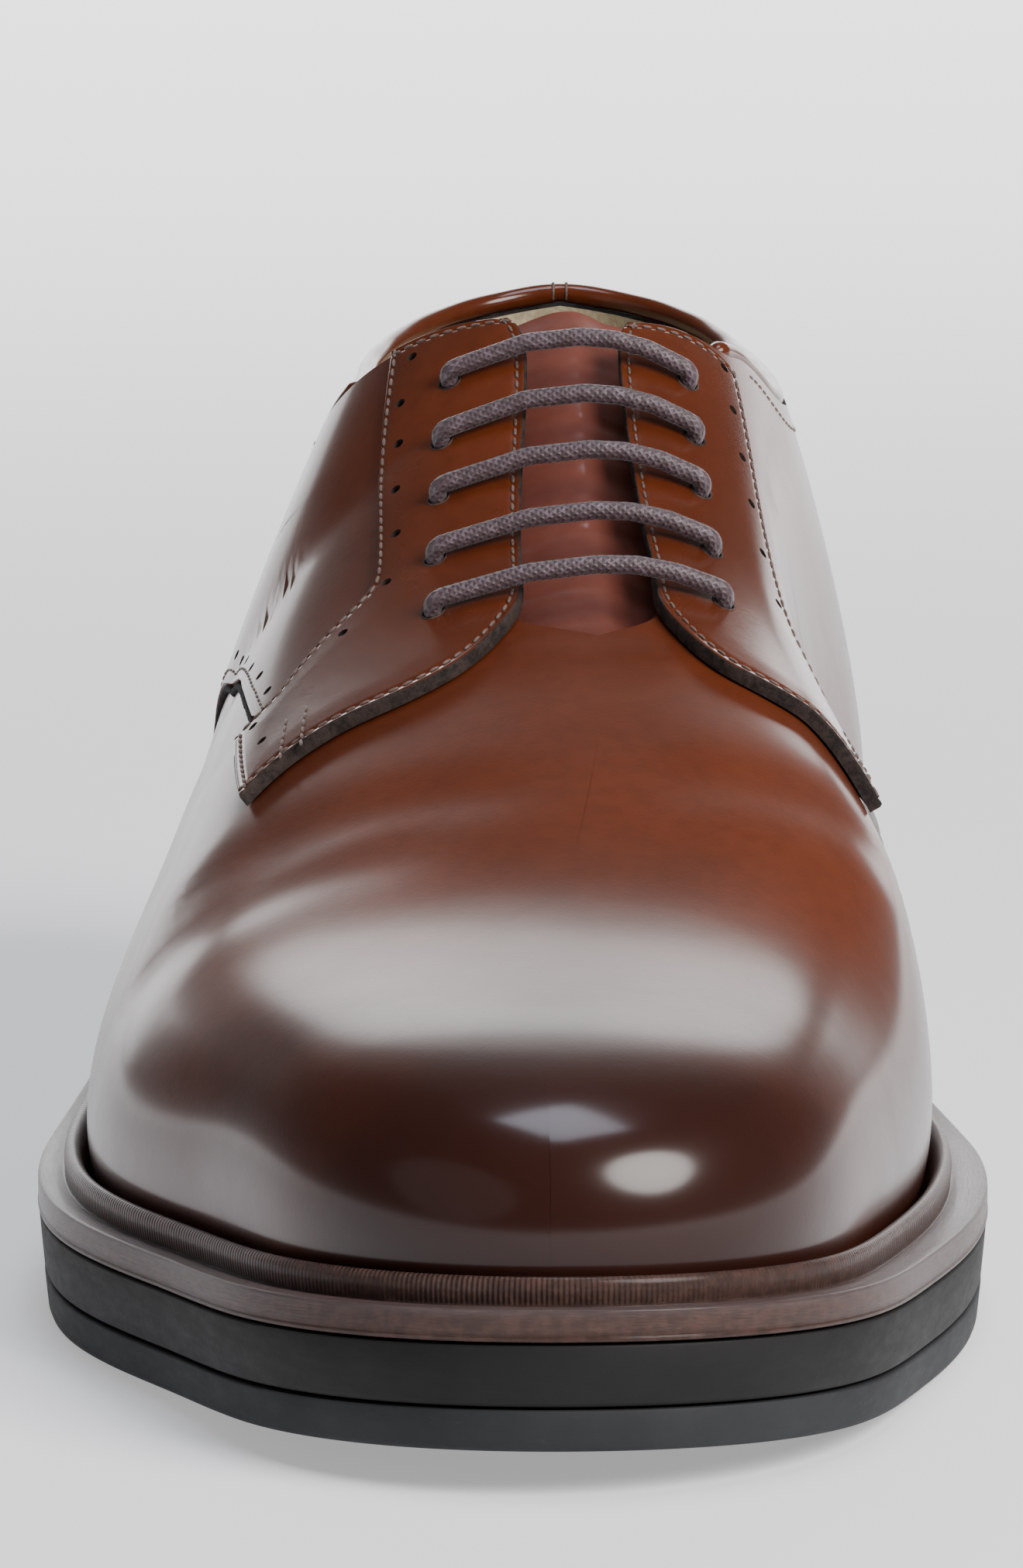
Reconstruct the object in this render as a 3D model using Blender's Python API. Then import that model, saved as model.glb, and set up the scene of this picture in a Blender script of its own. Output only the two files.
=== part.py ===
"""Plain toe derby, right shoe: one hollow upper on a welted rubber sole.

Metres, +Z up, toe towards -Y, lateral side towards -X, standing empty on its own sole.
Places on the last are given by `along` (0 at the heel, 1 at the toe) and `rise`
(0 at the feather line, 1 on the ridge over the instep); tables hold shares of named sizes.
"""

import math

import bmesh
import bpy
import numpy as np
from mathutils import Matrix, Vector

# Driving sizes
LAST_LENGTH = 0.288
BALL_WIDTH = 0.0955
INSTEP_HEIGHT = 0.069
HEEL_HEIGHT = 0.020
TOE_SPRING = 0.0044
FIT_GAP = 0.0003

# Where the toe spring starts, where the heel's rise starts and over how long it runs,
# and where the sole's height levels off past the toe, as shares of LAST_LENGTH
SPRING_START = 0.72
HEEL_RISE_START = 0.62
HEEL_RISE_RUN = 0.50
LEVEL_PAST = 1.04

# Last details
TOE_CENTRE = 0.031
HEEL_CENTRE = 0.030
CENTRE_BLEND = 0.008
WALL_BULGE = 0.0031
BULGE_HEIGHT = 0.016

# Upper and what lies on it
WALL = 0.0018
QUARTER_STEP = 0.0010
FACING_TOP = 0.0022
QUARTER_CLEARANCE = 0.024
TONGUE_THICKNESS = 0.0016
TONGUE_REST = 0.0048
TONGUE_CROWN = 0.0032
TONGUE_DIP = 0.0014
TONGUE_ROOT = 0.0029
BINDING_RADIUS = 0.0014
BINDING_GAP = 0.0005
BINDING_END = 0.336
EYELET_RADIUS = 0.0016
LACE_RADIUS = 0.00115
LACE_OVER = 0.0039
LACE_ARCH = 0.0008
LACE_UNDER = 0.00335
LACE_BEND = 0.0019

# Sole
OUTSOLE = 0.0047
MIDSOLE = 0.0070
WELT = 0.0037
BEAD_WIDTH = 0.0024
WELT_GAP = 0.0007
INSOLE = 0.0030
INSOLE_GAP = 0.0011
TOP_LIFT = 0.0060
SOLE_STANDOUT = 0.0078
SIDE_TAPER = 0.0011
HEEL_BREAST = 0.262
HEEL_SETBACK = 0.0004

# Welt section, outside to inside: out from the sole's edge as a share of SOLE_STANDOUT
# or from the wall as a share of BEAD_WIDTH, and height as a share of WELT
WELT_SECTION = (
    ("edge", 0.00, 0.00),
    ("edge", 0.00, 0.92),
    ("edge", -0.04, 1.00),
    ("wall", 1.15, 0.97),
    ("wall", 1.00, 1.42),
    ("wall", 0.70, 1.74),
    ("wall", 0.25, 1.72),
    ("wall", 0.00, 1.38),
    ("wall", 0.00, 0.65),
    ("wall", 0.00, 0.00),
)

# The last, a row per section: shares of LAST_LENGTH, BALL_WIDTH and INSTEP_HEIGHT;
# fullness and crown shape the side and top of each section
LAST_COLUMNS = ("along", "lateral", "medial", "ridge", "crest", "full_lateral", "full_medial", "crown")
LAST = (
    (0.000, 0.000, 0.000, 0.000, 1.464, -0.45, -0.45, 0.43),
    (0.017, 0.152, 0.152, 0.000, 1.464, -0.45, -0.45, 0.43),
    (0.067, 0.267, 0.267, 0.000, 1.464, -0.45, -0.45, 0.43),
    (0.146, 0.325, 0.335, 0.000, 1.449, -0.42, -0.44, 0.42),
    (0.250, 0.346, 0.380, -0.005, 1.377, -0.22, -0.38, 0.38),
    (0.371, 0.461, 0.330, 0.021, 1.217, 0.16, 0.11, 0.45),
    (0.500, 0.524, 0.366, 0.042, 1.000, 0.36, 0.24, 0.51),
    (0.629, 0.560, 0.434, 0.058, 0.833, 0.40, 0.50, 0.87),
    (0.750, 0.524, 0.426, 0.021, 0.633, 0.35, 0.22, 1.43),
    (0.854, 0.393, 0.361, -0.010, 0.520, 0.42, 0.40, 1.74),
    (0.933, 0.283, 0.288, -0.010, 0.462, 0.45, 0.45, 1.45),
    (0.983, 0.151, 0.161, -0.005, 0.465, 0.45, 0.45, 1.30),
    (1.000, 0.000, 0.000, 0.000, 0.465, 0.45, 0.45, 1.30),
)

# Edge of the collar and throat on the shell
MOUTH_COLUMNS = ("along", "lateral_rise", "medial_rise")
MOUTH = (
    (0.000, 0.334, 0.334),
    (0.060, 0.312, 0.312),
    (0.120, 0.302, 0.302),
    (0.200, 0.310, 0.312),
    (0.280, 0.370, 0.400),
    (0.325, 0.510, 0.535),
    (0.344, 0.660, 0.612),
    (0.356, 0.780, 0.715),
    (0.366, 0.868, 0.820),
    (0.382, 0.905, 0.868),
    (0.420, 0.912, 0.880),
    (0.500, 0.910, 0.872),
    (0.540, 0.912, 0.880),
    (0.558, 0.940, 0.925),
    (0.570, 1.000, 1.000),
)

# Edge of the quarter, a step in the wall: the vamp shows in front of it and below it
QUARTER_COLUMNS = ("rise", "lateral_along", "medial_along")
QUARTER = (
    (0.00, 0.330, 0.330),
    (0.12, 0.340, 0.350),
    (0.25, 0.362, 0.395),
    (0.36, 0.386, 0.465),
    (0.46, 0.418, 0.516),
    (0.52, 0.448, 0.520),
    (0.57, 0.490, 0.520),
    (0.61, 0.530, 0.520),
    (0.68, 0.545, 0.518),
    (0.80, 0.530, 0.510),
    (0.90, 0.500, 0.500),
    (1.00, 0.500, 0.500),
)
QUARTER_COLUMN = 0.500
QUARTER_RAMP = 0.0022
QUARTER_FADE = 0.004
QUARTER_REACH = (0.20, 0.75)

# Facings: inner or front edge, and outer seam, at matching stations
FACING_COLUMNS = ("edge_along", "edge_rise", "seam_along", "seam_rise")
FACING_LATERAL = (
    (0.366, 0.905, 0.349, 0.700),
    (0.389, 0.934, 0.362, 0.712),
    (0.457, 0.932, 0.400, 0.735),
    (0.515, 0.930, 0.455, 0.760),
    (0.545, 0.928, 0.490, 0.768),
    (0.567, 0.908, 0.501, 0.762),
    (0.590, 0.868, 0.507, 0.745),
    (0.602, 0.810, 0.513, 0.722),
    (0.604, 0.755, 0.519, 0.702),
    (0.607, 0.700, 0.528, 0.678),
    (0.612, 0.660, 0.538, 0.650),
    (0.619, 0.630, 0.543, 0.594),
)
FACING_MEDIAL = (
    (0.370, 0.872, 0.352, 0.580),
    (0.389, 0.902, 0.364, 0.572),
    (0.448, 0.900, 0.400, 0.556),
    (0.518, 0.890, 0.450, 0.546),
    (0.545, 0.896, 0.486, 0.540),
    (0.567, 0.870, 0.500, 0.530),
    (0.586, 0.820, 0.507, 0.515),
    (0.592, 0.760, 0.512, 0.500),
    (0.592, 0.700, 0.517, 0.484),
    (0.590, 0.640, 0.524, 0.466),
    (0.598, 0.570, 0.532, 0.444),
    (0.612, 0.505, 0.540, 0.412),
)

# Eyelets from the top pair down
EYELET_COLUMNS = ("lateral_along", "lateral_rise", "medial_along", "medial_rise")
EYELETS = (
    (0.392, 0.832, 0.394, 0.742),
    (0.426, 0.834, 0.426, 0.742),
    (0.461, 0.838, 0.458, 0.746),
    (0.502, 0.840, 0.496, 0.752),
    (0.543, 0.842, 0.535, 0.768),
)

# How far the sole stands out past the feather line, as a share of SOLE_STANDOUT
STANDOUT_COLUMNS = ("along", "lateral", "medial")
STANDOUT = (
    (0.00, 0.78, 0.78),
    (0.25, 0.78, 0.78),
    (0.42, 0.80, 0.86),
    (0.60, 1.00, 1.14),
    (0.80, 1.02, 1.16),
    (0.93, 1.12, 1.16),
    (1.00, 1.28, 1.28),
)

# Edges of the tongue, as sweep away from the ridge
TONGUE_COLUMNS = ("along", "lateral_sweep", "medial_sweep")
TONGUE_CROWN_SWEEP = 0.13
TONGUE_ROOT_START = 0.565
TONGUE_ROOT_RUN = 0.035
TONGUE = (
    (0.3395, 0.24, 0.31),
    (0.3480, 0.29, 0.38),
    (0.370, 0.30, 0.40),
    (0.450, 0.29, 0.39),
    (0.540, 0.26, 0.34),
    (0.620, 0.22, 0.27),
)


def column(table, columns, name):
    """One named column of a table as an array."""
    return np.array([row[columns.index(name)] for row in table], float)


def spline(x, y, at, closed=False):
    """Natural cubic spline through the points, or a closed one over its period."""
    x = np.asarray(x, float)
    y = np.asarray(y, float)
    at = np.asarray(at, float)
    count = len(x)
    h = np.diff(x)
    matrix = np.zeros((count, count))
    right = np.zeros(count)
    inner = np.arange(1, count - 1)
    matrix[inner, inner - 1] = h[:-1]
    matrix[inner, inner] = 2 * (h[:-1] + h[1:])
    matrix[inner, inner + 1] = h[1:]
    slope = np.diff(y) / h
    right[1:-1] = 6 * np.diff(slope)
    if closed:
        matrix[0, 0] = 1
        matrix[0, -1] = -1
        matrix[-1, 0] = 2 * h[0]
        matrix[-1, 1] = h[0]
        matrix[-1, -2] = h[-1]
        matrix[-1, -1] = 2 * h[-1]
        right[-1] = 6 * (slope[0] - slope[-1])
    else:
        matrix[0, 0] = 1
        matrix[-1, -1] = 1
    bend = np.linalg.solve(matrix, right)
    i = np.clip(np.searchsorted(x, at, side="right") - 1, 0, count - 2)
    before = x[i + 1] - at
    after = at - x[i]
    curved = (bend[i] * before**3 + bend[i + 1] * after**3) / (6 * h[i])
    left_part = (y[i] / h[i] - bend[i] * h[i] / 6) * before
    right_part = (y[i + 1] / h[i] - bend[i + 1] * h[i] / 6) * after
    return curved + left_part + right_part


def turn_of(along):
    """Angle round the plan whose cosine gives the place along the last."""
    return np.arccos(np.clip(1 - 2 * np.asarray(along, float), -1, 1))


def along_of(turn):
    """Place along the last for an angle round the plan."""
    return (1 - np.cos(turn)) / 2


LAST_TURNS = turn_of(column(LAST, LAST_COLUMNS, "along"))


def plan_x(side, turn):
    """Signed distance of the feather line from the axis, by a closed spline round the plan."""
    lateral = column(LAST, LAST_COLUMNS, "lateral") * BALL_WIDTH
    medial = column(LAST, LAST_COLUMNS, "medial") * BALL_WIDTH
    loop_turns = np.concatenate([-LAST_TURNS[::-1], LAST_TURNS[1:]])
    loop_x = np.concatenate([medial[::-1], -lateral[1:]])
    return spline(loop_turns, loop_x, np.where(side < 0, turn, -turn), closed=True)


def last_size(name, along):
    """A last column at a place, splined with level ends."""
    values = column(LAST, LAST_COLUMNS, name)
    turns = np.concatenate([-LAST_TURNS[:0:-1], LAST_TURNS, 2 * math.pi - LAST_TURNS[-2::-1]])
    mirrored = np.concatenate([values[:0:-1], values, values[-2::-1]])
    return spline(turns, mirrored, turn_of(along))


def ease(share):
    """Smooth step from 0 to 1."""
    share = np.clip(share, 0, 1)
    return share * share * (3 - 2 * share)


def ground_lift(along):
    """Height of the outsole's underside: toe spring in front, heel height behind."""
    along = np.asarray(along, float)
    toe = np.clip((along - SPRING_START) / (1 - SPRING_START), 0, None)
    return TOE_SPRING * toe**2 + HEEL_HEIGHT * ease((HEEL_RISE_START - along) / HEEL_RISE_RUN)


def seat(along):
    """Height at which the upper, welt and insole rest on the midsole."""
    return ground_lift(along) + OUTSOLE + MIDSOLE + 2 * FIT_GAP


def soft_limit(value, low, high, blend):
    """Clamp with rounded corners."""
    raised = low + np.logaddexp(0, (value - low) / blend) * blend
    return high - np.logaddexp(0, (high - raised) / blend) * blend


def bulge(height):
    """Outward swell of the wall above the feather line."""
    share = np.clip(height / BULGE_HEIGHT, 0, None)
    return WALL_BULGE * share * np.exp(1 - share)


def last_point(side, turn, rise):
    """Point on the last: a section fans from the ridge to the feather line.

    Each section is an ellipse quarter made fuller by its fullness and flatter by its crown,
    tilted with the slope of the ridge, plus the bulge of the wall.
    """
    side, turn, rise = np.broadcast_arrays(np.asarray(side, float), turn, rise)
    along = along_of(turn)
    y = along * LAST_LENGTH
    rib_y = soft_limit(y, HEEL_CENTRE, LAST_LENGTH - TOE_CENTRE, CENTRE_BLEND)
    rib = rib_y / LAST_LENGTH
    rib_x = last_size("ridge", rib) * BALL_WIDTH
    base = seat(along)
    top = seat(rib) + last_size("crest", rib) * INSTEP_HEIGHT
    out_x = plan_x(side, turn) - rib_x
    out_y = y - rib_y
    reach = np.hypot(out_x, out_y)
    full = np.where(side < 0, last_size("full_lateral", rib), last_size("full_medial", rib))
    step = 1e-4
    top_ahead = seat(rib + step) + last_size("crest", rib + step) * INSTEP_HEIGHT
    top_behind = seat(rib - step) + last_size("crest", rib - step) * INSTEP_HEIGHT
    slope = (top_ahead - top_behind) / (2 * step * LAST_LENGTH) * out_y / reach
    height = top - base
    crown = last_size("crown", rib) * INSTEP_HEIGHT
    shoulder = reach * (1 + full) + bulge(height)
    flat = np.clip(0.5 - shoulder**2 / (2 * height * crown), -0.30, 0.40)
    angle = rise * math.pi / 2
    out = reach * np.cos(angle) * (1 + full * np.sin(angle) ** 2)
    up = np.sin(angle) * (1 + flat * np.cos(angle) ** 2) * (height + slope * out)
    out = out + bulge(up) * np.cos(angle)
    x = rib_x + out_x / reach * out
    back = rib_y + out_y / reach * out
    return np.stack([x, LAST_LENGTH / 2 - back, base + up], -1)


def side_normal(side, turn, rise):
    """Outward direction of the last's surface on one side."""
    step = 1e-4
    round_plan = last_point(side, turn + step, rise) - last_point(side, turn - step, rise)
    up_wall = last_point(side, turn, rise + step) - last_point(side, turn, rise - step)
    normal = np.cross(round_plan, up_wall)
    normal /= np.linalg.norm(normal, axis=-1, keepdims=True)
    return normal * np.where(np.asarray(side) < 0, 1.0, -1.0)[..., None]


def surface(side, turn, rise, lift):
    """Point at a lift above the last, with one shared direction along the ridge."""
    side, turn, rise, lift = np.broadcast_arrays(np.asarray(side, float), turn, rise, lift)
    near = np.minimum(rise, 0.97)
    normal = side_normal(side, turn, near)
    shared = normal + side_normal(-side, turn, near)
    shared /= np.linalg.norm(shared, axis=-1, keepdims=True)
    share = ease((rise - 0.94) / 0.06)[..., None]
    normal = normal * (1 - share) + shared * share
    normal /= np.linalg.norm(normal, axis=-1, keepdims=True)
    return last_point(side, turn, rise) + normal * lift[..., None]


def mouth_rise(side, along):
    """Rise of the collar or throat edge at a place, 1 in front of the throat."""
    rows = turn_of(column(MOUTH, MOUTH_COLUMNS, "along"))
    name = "lateral_rise" if side < 0 else "medial_rise"
    rise = spline(rows, column(MOUTH, MOUTH_COLUMNS, name), turn_of(along))
    return np.minimum(rise, 1.0)


def quarter_lift(side, turn, rise):
    """Extra lift of the quarter over the vamp, behind its lower edge."""
    rows = column(QUARTER, QUARTER_COLUMNS, "rise")
    lateral = np.interp(rise, rows, column(QUARTER, QUARTER_COLUMNS, "lateral_along"))
    medial = np.interp(rise, rows, column(QUARTER, QUARTER_COLUMNS, "medial_along"))
    edge = np.where(np.asarray(side) < 0, lateral, medial)
    return QUARTER_STEP * ease((edge - along_of(turn)) / QUARTER_FADE)


def mesh_object(name, points, faces, collection):
    """Mesh object from points and faces, cleaned and facing outward."""
    mesh = bpy.data.meshes.new(name)
    mesh.from_pydata([tuple(p) for p in points], [], faces)
    work = bmesh.new()
    work.from_mesh(mesh)
    bmesh.ops.remove_doubles(work, verts=work.verts, dist=0.00002)
    bmesh.ops.recalc_face_normals(work, faces=work.faces)
    bmesh.ops.triangulate(work, faces=work.faces, quad_method="SHORT_EDGE")
    work.to_mesh(mesh)
    work.free()
    result = bpy.data.objects.new(name, mesh)
    collection.objects.link(result)
    return result


def grid_faces(index):
    """Quads over a grid of vertex numbers, with repeated corners left out."""
    faces = []
    for row, following in zip(index[:-1], index[1:]):
        for k in range(len(row) - 1):
            corners = (row[k], row[k + 1], following[k + 1], following[k])
            kept = list(dict.fromkeys(int(c) for c in corners))
            if len(kept) > 2:
                faces.append(kept)
    return faces


def slab(name, top, bottom, collection):
    """Closed sheet between two point grids of one size."""
    rows, cells = top.shape[:2]
    upper = np.arange(rows * cells).reshape(rows, cells)
    lower = upper + rows * cells
    faces = grid_faces(upper) + grid_faces(lower)
    edge = np.concatenate([upper[0], upper[1:, -1], upper[-1, -2::-1], upper[-2::-1, 0]])
    faces += grid_faces(np.stack([edge, edge + rows * cells]))
    points = np.concatenate([top.reshape(-1, 3), bottom.reshape(-1, 3)])
    return mesh_object(name, points, faces, collection)


def plan_edge(turn, standouts):
    """Points round each half of the plan, lateral then medial, pushed out by a standout."""
    step = 1e-4
    edges = []
    for side, standout in zip((-1.0, 1.0), standouts):
        ahead = np.stack([plan_x(side, turn + step), along_of(turn + step) * LAST_LENGTH], -1)
        behind = np.stack([plan_x(side, turn - step), along_of(turn - step) * LAST_LENGTH], -1)
        run = ahead - behind
        run /= np.linalg.norm(run, axis=-1, keepdims=True)
        out = np.stack([run[:, 1], -run[:, 0]], -1) * side
        place = np.stack([plan_x(side, turn), along_of(turn) * LAST_LENGTH], -1)
        edge = place + out * standout[:, None]
        edge[turn == 0, 0] = 0.0
        edge[turn == math.pi, 0] = 0.0
        edges.append(edge)
    return edges


def sole_standout(turn, less=0.0):
    """How far the sole stands out past the feather line, lateral then medial."""
    rows = column(STANDOUT, STANDOUT_COLUMNS, "along")
    lateral = spline(rows, column(STANDOUT, STANDOUT_COLUMNS, "lateral"), along_of(turn))
    medial = spline(rows, column(STANDOUT, STANDOUT_COLUMNS, "medial"), along_of(turn))
    return lateral * SOLE_STANDOUT - less, medial * SOLE_STANDOUT - less


def stacked(edges, heights):
    """Left and right edge points of a layer as rows across the shoe, at their heights."""
    level = np.stack(edges, 1)
    height = heights(level[..., 1] / LAST_LENGTH)
    return np.stack([level[..., 0], LAST_LENGTH / 2 - level[..., 1], height], -1)


def sole_layer(name, low, high, inset_low, inset_high, collection):
    """Layer of the sole between two heights over its underside, with a tapered side."""
    turn = np.linspace(0, math.pi, 33)
    grids = []
    for height, inset in ((high, inset_high), (low, inset_low)):

        def level(along, height=height):
            return ground_lift(np.clip(along, 0, LEVEL_PAST)) + height

        grids.append(stacked(plan_edge(turn, sole_standout(turn, inset)), level))
    return slab(name, grids[0], grids[1], collection)


def build_outsole(collection):
    """Grey outsole from toe to heel seat."""
    return sole_layer("outsole", 0.0, OUTSOLE, SIDE_TAPER, 0.65 * SIDE_TAPER, collection)


def build_midsole(collection):
    """Dark midsole on the outsole."""
    low = OUTSOLE + FIT_GAP
    return sole_layer("midsole", low, low + MIDSOLE, 0.6 * SIDE_TAPER, 0.1 * SIDE_TAPER, collection)


def heel_layer(name, top, bottom, setbacks, collection):
    """Layer of the heel with a straight breast, between two heights over the floor."""
    turn = np.linspace(0, float(turn_of(HEEL_BREAST)), 15)
    grids = []
    for heights, setback in zip((top, bottom), setbacks):
        edges = plan_edge(turn, sole_standout(turn, SIDE_TAPER + setback * HEEL_SETBACK))
        for edge in edges:
            edge[-1, 1] = HEEL_BREAST * LAST_LENGTH
        grids.append(stacked(edges, heights))
    return slab(name, grids[0], grids[1], collection)


def build_heel(collection):
    """Heel block under the heel seat, its top following the outsole."""

    def top(along):
        return ground_lift(np.clip(along, 0, 1)) - FIT_GAP

    def bottom(along):
        return np.full(along.shape, TOP_LIFT + FIT_GAP)

    return heel_layer("heel_block", top, bottom, (1, 2), collection)


def build_top_lift(collection):
    """Flat top lift on the floor."""

    def top(along):
        return np.full(along.shape, TOP_LIFT)

    def bottom(along):
        return np.zeros(along.shape)

    return heel_layer("top_lift", top, bottom, (2, 2), collection)


def build_insole(collection):
    """Insole inside the wall, seated on the midsole."""
    turn = np.linspace(0, math.pi, 33)
    inset = np.full(turn.shape, -(WALL + INSOLE_GAP))
    grids = [
        stacked(plan_edge(turn, (inset, inset)), lambda along, rise=height: seat(along) + rise)
        for height in (INSOLE, 0.0)
    ]
    return slab("insole", grids[0], grids[1], collection)


def wall_edge(turn, height):
    """Plan points of the upper's outer wall at one height over the seat, for both sides."""
    edges = []
    for side in (-1.0, 1.0):
        rise = np.linspace(0, 0.35, 29)[None, :] + np.zeros((len(turn), 1))
        turns = turn[:, None] + np.zeros(rise.shape)
        lift = quarter_lift(side, turn_of(along_of(turns) - QUARTER_CLEARANCE), rise)
        wall = surface(side, turns, rise, lift)
        wall[:, 0, 2] = seat(along_of(turn))
        above = wall[..., 2] - seat(along_of(turns))
        place = [
            [np.interp(height, above[k], wall[k, :, axis]) for axis in (0, 1)]
            for k in range(len(turn))
        ]
        edges.append(np.array(place))
    return edges


def build_welt(collection):
    """Welt ring with a raised bead against the upper."""
    turn = np.linspace(0, math.pi, 33)
    flip = (1, -1)
    nothing = np.zeros(turn.shape)
    sole = [edge * flip + (0, LAST_LENGTH / 2) for edge in plan_edge(turn, sole_standout(turn))]
    line = [edge * flip + (0, LAST_LENGTH / 2) for edge in plan_edge(turn, (nothing, nothing))]
    rings = []
    for anchor, out_share, height_share in WELT_SECTION:
        height = WELT * height_share
        halves = []
        for outer, inner, wall in zip(sole, line, wall_edge(turn, height)):
            out = outer - inner
            out /= np.linalg.norm(out, axis=1, keepdims=True)
            if anchor == "edge":
                halves.append(outer + out * SOLE_STANDOUT * out_share)
            else:
                halves.append(wall + out * (WELT_GAP + BEAD_WIDTH * out_share))
        left, right = halves
        left[0, 0] = left[-1, 0] = 0.0
        loop = np.concatenate([left, right[-2:0:-1]])
        z = seat(np.clip(0.5 - loop[:, 1] / LAST_LENGTH, 0, LEVEL_PAST)) + height
        rings.append(np.concatenate([loop, z[:, None]], 1))
    ring = np.stack(rings, 1)
    count, corners = ring.shape[:2]
    index = np.arange(count * corners).reshape(count, corners)
    index = np.concatenate([index, index[:1]])
    index = np.concatenate([index, index[:, :1]], 1)
    return mesh_object("welt", ring.reshape(-1, 3), grid_faces(index), collection)


def shell_places(behind, ahead):
    """Places of the shell's columns, closer where the mouth climbs, two of them at the quarter's step."""
    throat = MOUTH[-1][0]
    along = np.linspace(0, throat, 800)
    climb = np.abs(np.diff(mouth_rise(-1, along))) + np.abs(np.diff(mouth_rise(1, along)))
    path = np.concatenate([[0], np.cumsum(np.diff(turn_of(along)) + 0.9 * climb)])
    back = np.interp(np.linspace(0, path[-1], behind), path, along)
    k = int(np.argmin(np.abs(back - QUARTER_COLUMN)))
    back[k] = QUARTER_COLUMN
    back = np.insert(back, k + 1, QUARTER_COLUMN + QUARTER_RAMP)
    front = along_of(np.linspace(float(turn_of(throat)), math.pi, ahead))
    return np.concatenate([back, front[1:]]), len(back)


def quarter_shift(side, place, share):
    """How far a shell column leans so that one column follows the quarter's edge.

    The full shift is on the quarter's own column and fades to nothing over its reach; at the
    mouth there is none.
    """
    low, high = QUARTER_REACH
    fade = np.interp(place, (low, QUARTER_COLUMN, QUARTER_COLUMN + QUARTER_RAMP, high), (0, 1, 1, 0))
    rows = column(QUARTER, QUARTER_COLUMNS, "rise")
    name = "lateral_along" if side < 0 else "medial_along"
    rise = share * float(mouth_rise(side, QUARTER_COLUMN))
    edge = np.interp(rise, rows, column(QUARTER, QUARTER_COLUMNS, name))
    return (edge - QUARTER_COLUMN) * fade * ease((1 - share) / 0.10)


def build_upper(collection):
    """Hollow upper: outer and inner wall joined at the mouth and along the feather line."""
    places, behind = shell_places(30, 13)
    last_column = len(places) - 1
    pole = last_column - 4
    share = np.linspace(0, 1, 12) ** 1.2
    number = {}
    points = []
    loops = {"out": [], "in": []}
    order = [(-1, k) for k in range(last_column + 1)] + [(1, k) for k in range(last_column - 1, 0, -1)]
    for side, k in order:
        closed = k >= behind - 1
        rise = share * (1.0 if closed else float(mouth_rise(side, places[k])))
        along = places[k] + quarter_shift(side, places[k], share)
        if k >= pole:
            along[-1] = 1.0
        lift = np.full(rise.shape, QUARTER_STEP if places[k] <= QUARTER_COLUMN else 0.0)
        walls = {
            "out": surface(side, turn_of(along), rise, lift),
            "in": surface(side, turn_of(along), rise, np.full(rise.shape, -WALL)),
        }
        for wall, grid in walls.items():
            grid[0, 2] = seat(along[0])
            ids = []
            for j, place in enumerate(grid):
                if closed and j == len(share) - 1:
                    key = (wall, "ridge", min(k, pole))
                elif k in (0, last_column):
                    key = (wall, "seam", k, j)
                else:
                    key = (wall, side, k, j)
                if key not in number:
                    number[key] = len(points)
                    points.append(place)
                ids.append(number[key])
            loops[wall].append(ids)
    outer = np.array(loops["out"] + loops["out"][:1])
    inner = np.array(loops["in"] + loops["in"][:1])
    faces = grid_faces(outer) + grid_faces(inner)
    faces += grid_faces(np.stack([outer[:, 0], inner[:, 0]]))
    rim = [n for n, (side, k) in enumerate(order) if k <= behind - 1]
    rim.append(rim[0])
    faces += grid_faces(np.stack([outer[rim, -1], inner[rim, -1]]))
    return mesh_object("upper", np.array(points), faces, collection)


def facing_grid(side, table, stations, cells):
    """Along and rise over a facing, between its inner edge and its outer seam."""
    at = np.linspace(0, len(table) - 1, stations)
    rows = np.arange(len(table))
    edge_along, edge_rise, seam_along, seam_rise = (
        spline(rows, column(table, FACING_COLUMNS, name), at)[:, None] for name in FACING_COLUMNS
    )
    share = np.linspace(0, 1, cells)[None, :]
    return edge_along + (seam_along - edge_along) * share, edge_rise + (seam_rise - edge_rise) * share


def build_facing(name, side, table, collection):
    """Facing laid over the quarter and, in front, over the vamp."""
    along, rise = facing_grid(side, table, 29, 7)
    turn = turn_of(along)
    top = surface(side, turn, rise, np.full(turn.shape, FACING_TOP))
    under = FIT_GAP + quarter_lift(side, turn_of(along - QUARTER_CLEARANCE), rise)
    bottom = surface(side, turn, rise, under)
    return slab(name, top, bottom, collection)


def eyelet_place(side, row):
    """Turn and rise of one eyelet."""
    values = dict(zip(EYELET_COLUMNS, row))
    word = "lateral" if side < 0 else "medial"
    return float(turn_of(values[word + "_along"])), values[word + "_rise"]


def eyelet_cutters(name, side, collection):
    """Five short rods square to the surface, one per eyelet."""
    work = bmesh.new()
    for row in EYELETS:
        turn, rise = eyelet_place(side, row)
        ends = [surface(side, turn, rise, np.array(lift)) for lift in (-0.005, 0.006)]
        axis = ends[1] - ends[0]
        centre = (ends[0] + ends[1]) / 2
        turned = Vector(axis).to_track_quat("Z", "Y").to_matrix().to_4x4()
        bmesh.ops.create_cone(
            work,
            cap_ends=True,
            segments=10,
            radius1=EYELET_RADIUS,
            radius2=EYELET_RADIUS,
            depth=float(np.linalg.norm(axis)),
            matrix=Matrix.Translation(centre) @ turned,
        )
    mesh = bpy.data.meshes.new(name)
    work.to_mesh(mesh)
    work.free()
    result = bpy.data.objects.new(name, mesh)
    result.hide_render = True
    result.display_type = "WIRE"
    collection.objects.link(result)
    return result


def cut(target, cutter):
    """Take the cutter out of the target."""
    change = target.modifiers.new(cutter.name, "BOOLEAN")
    change.operation = "DIFFERENCE"
    change.solver = "EXACT"
    change.object = cutter


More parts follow.
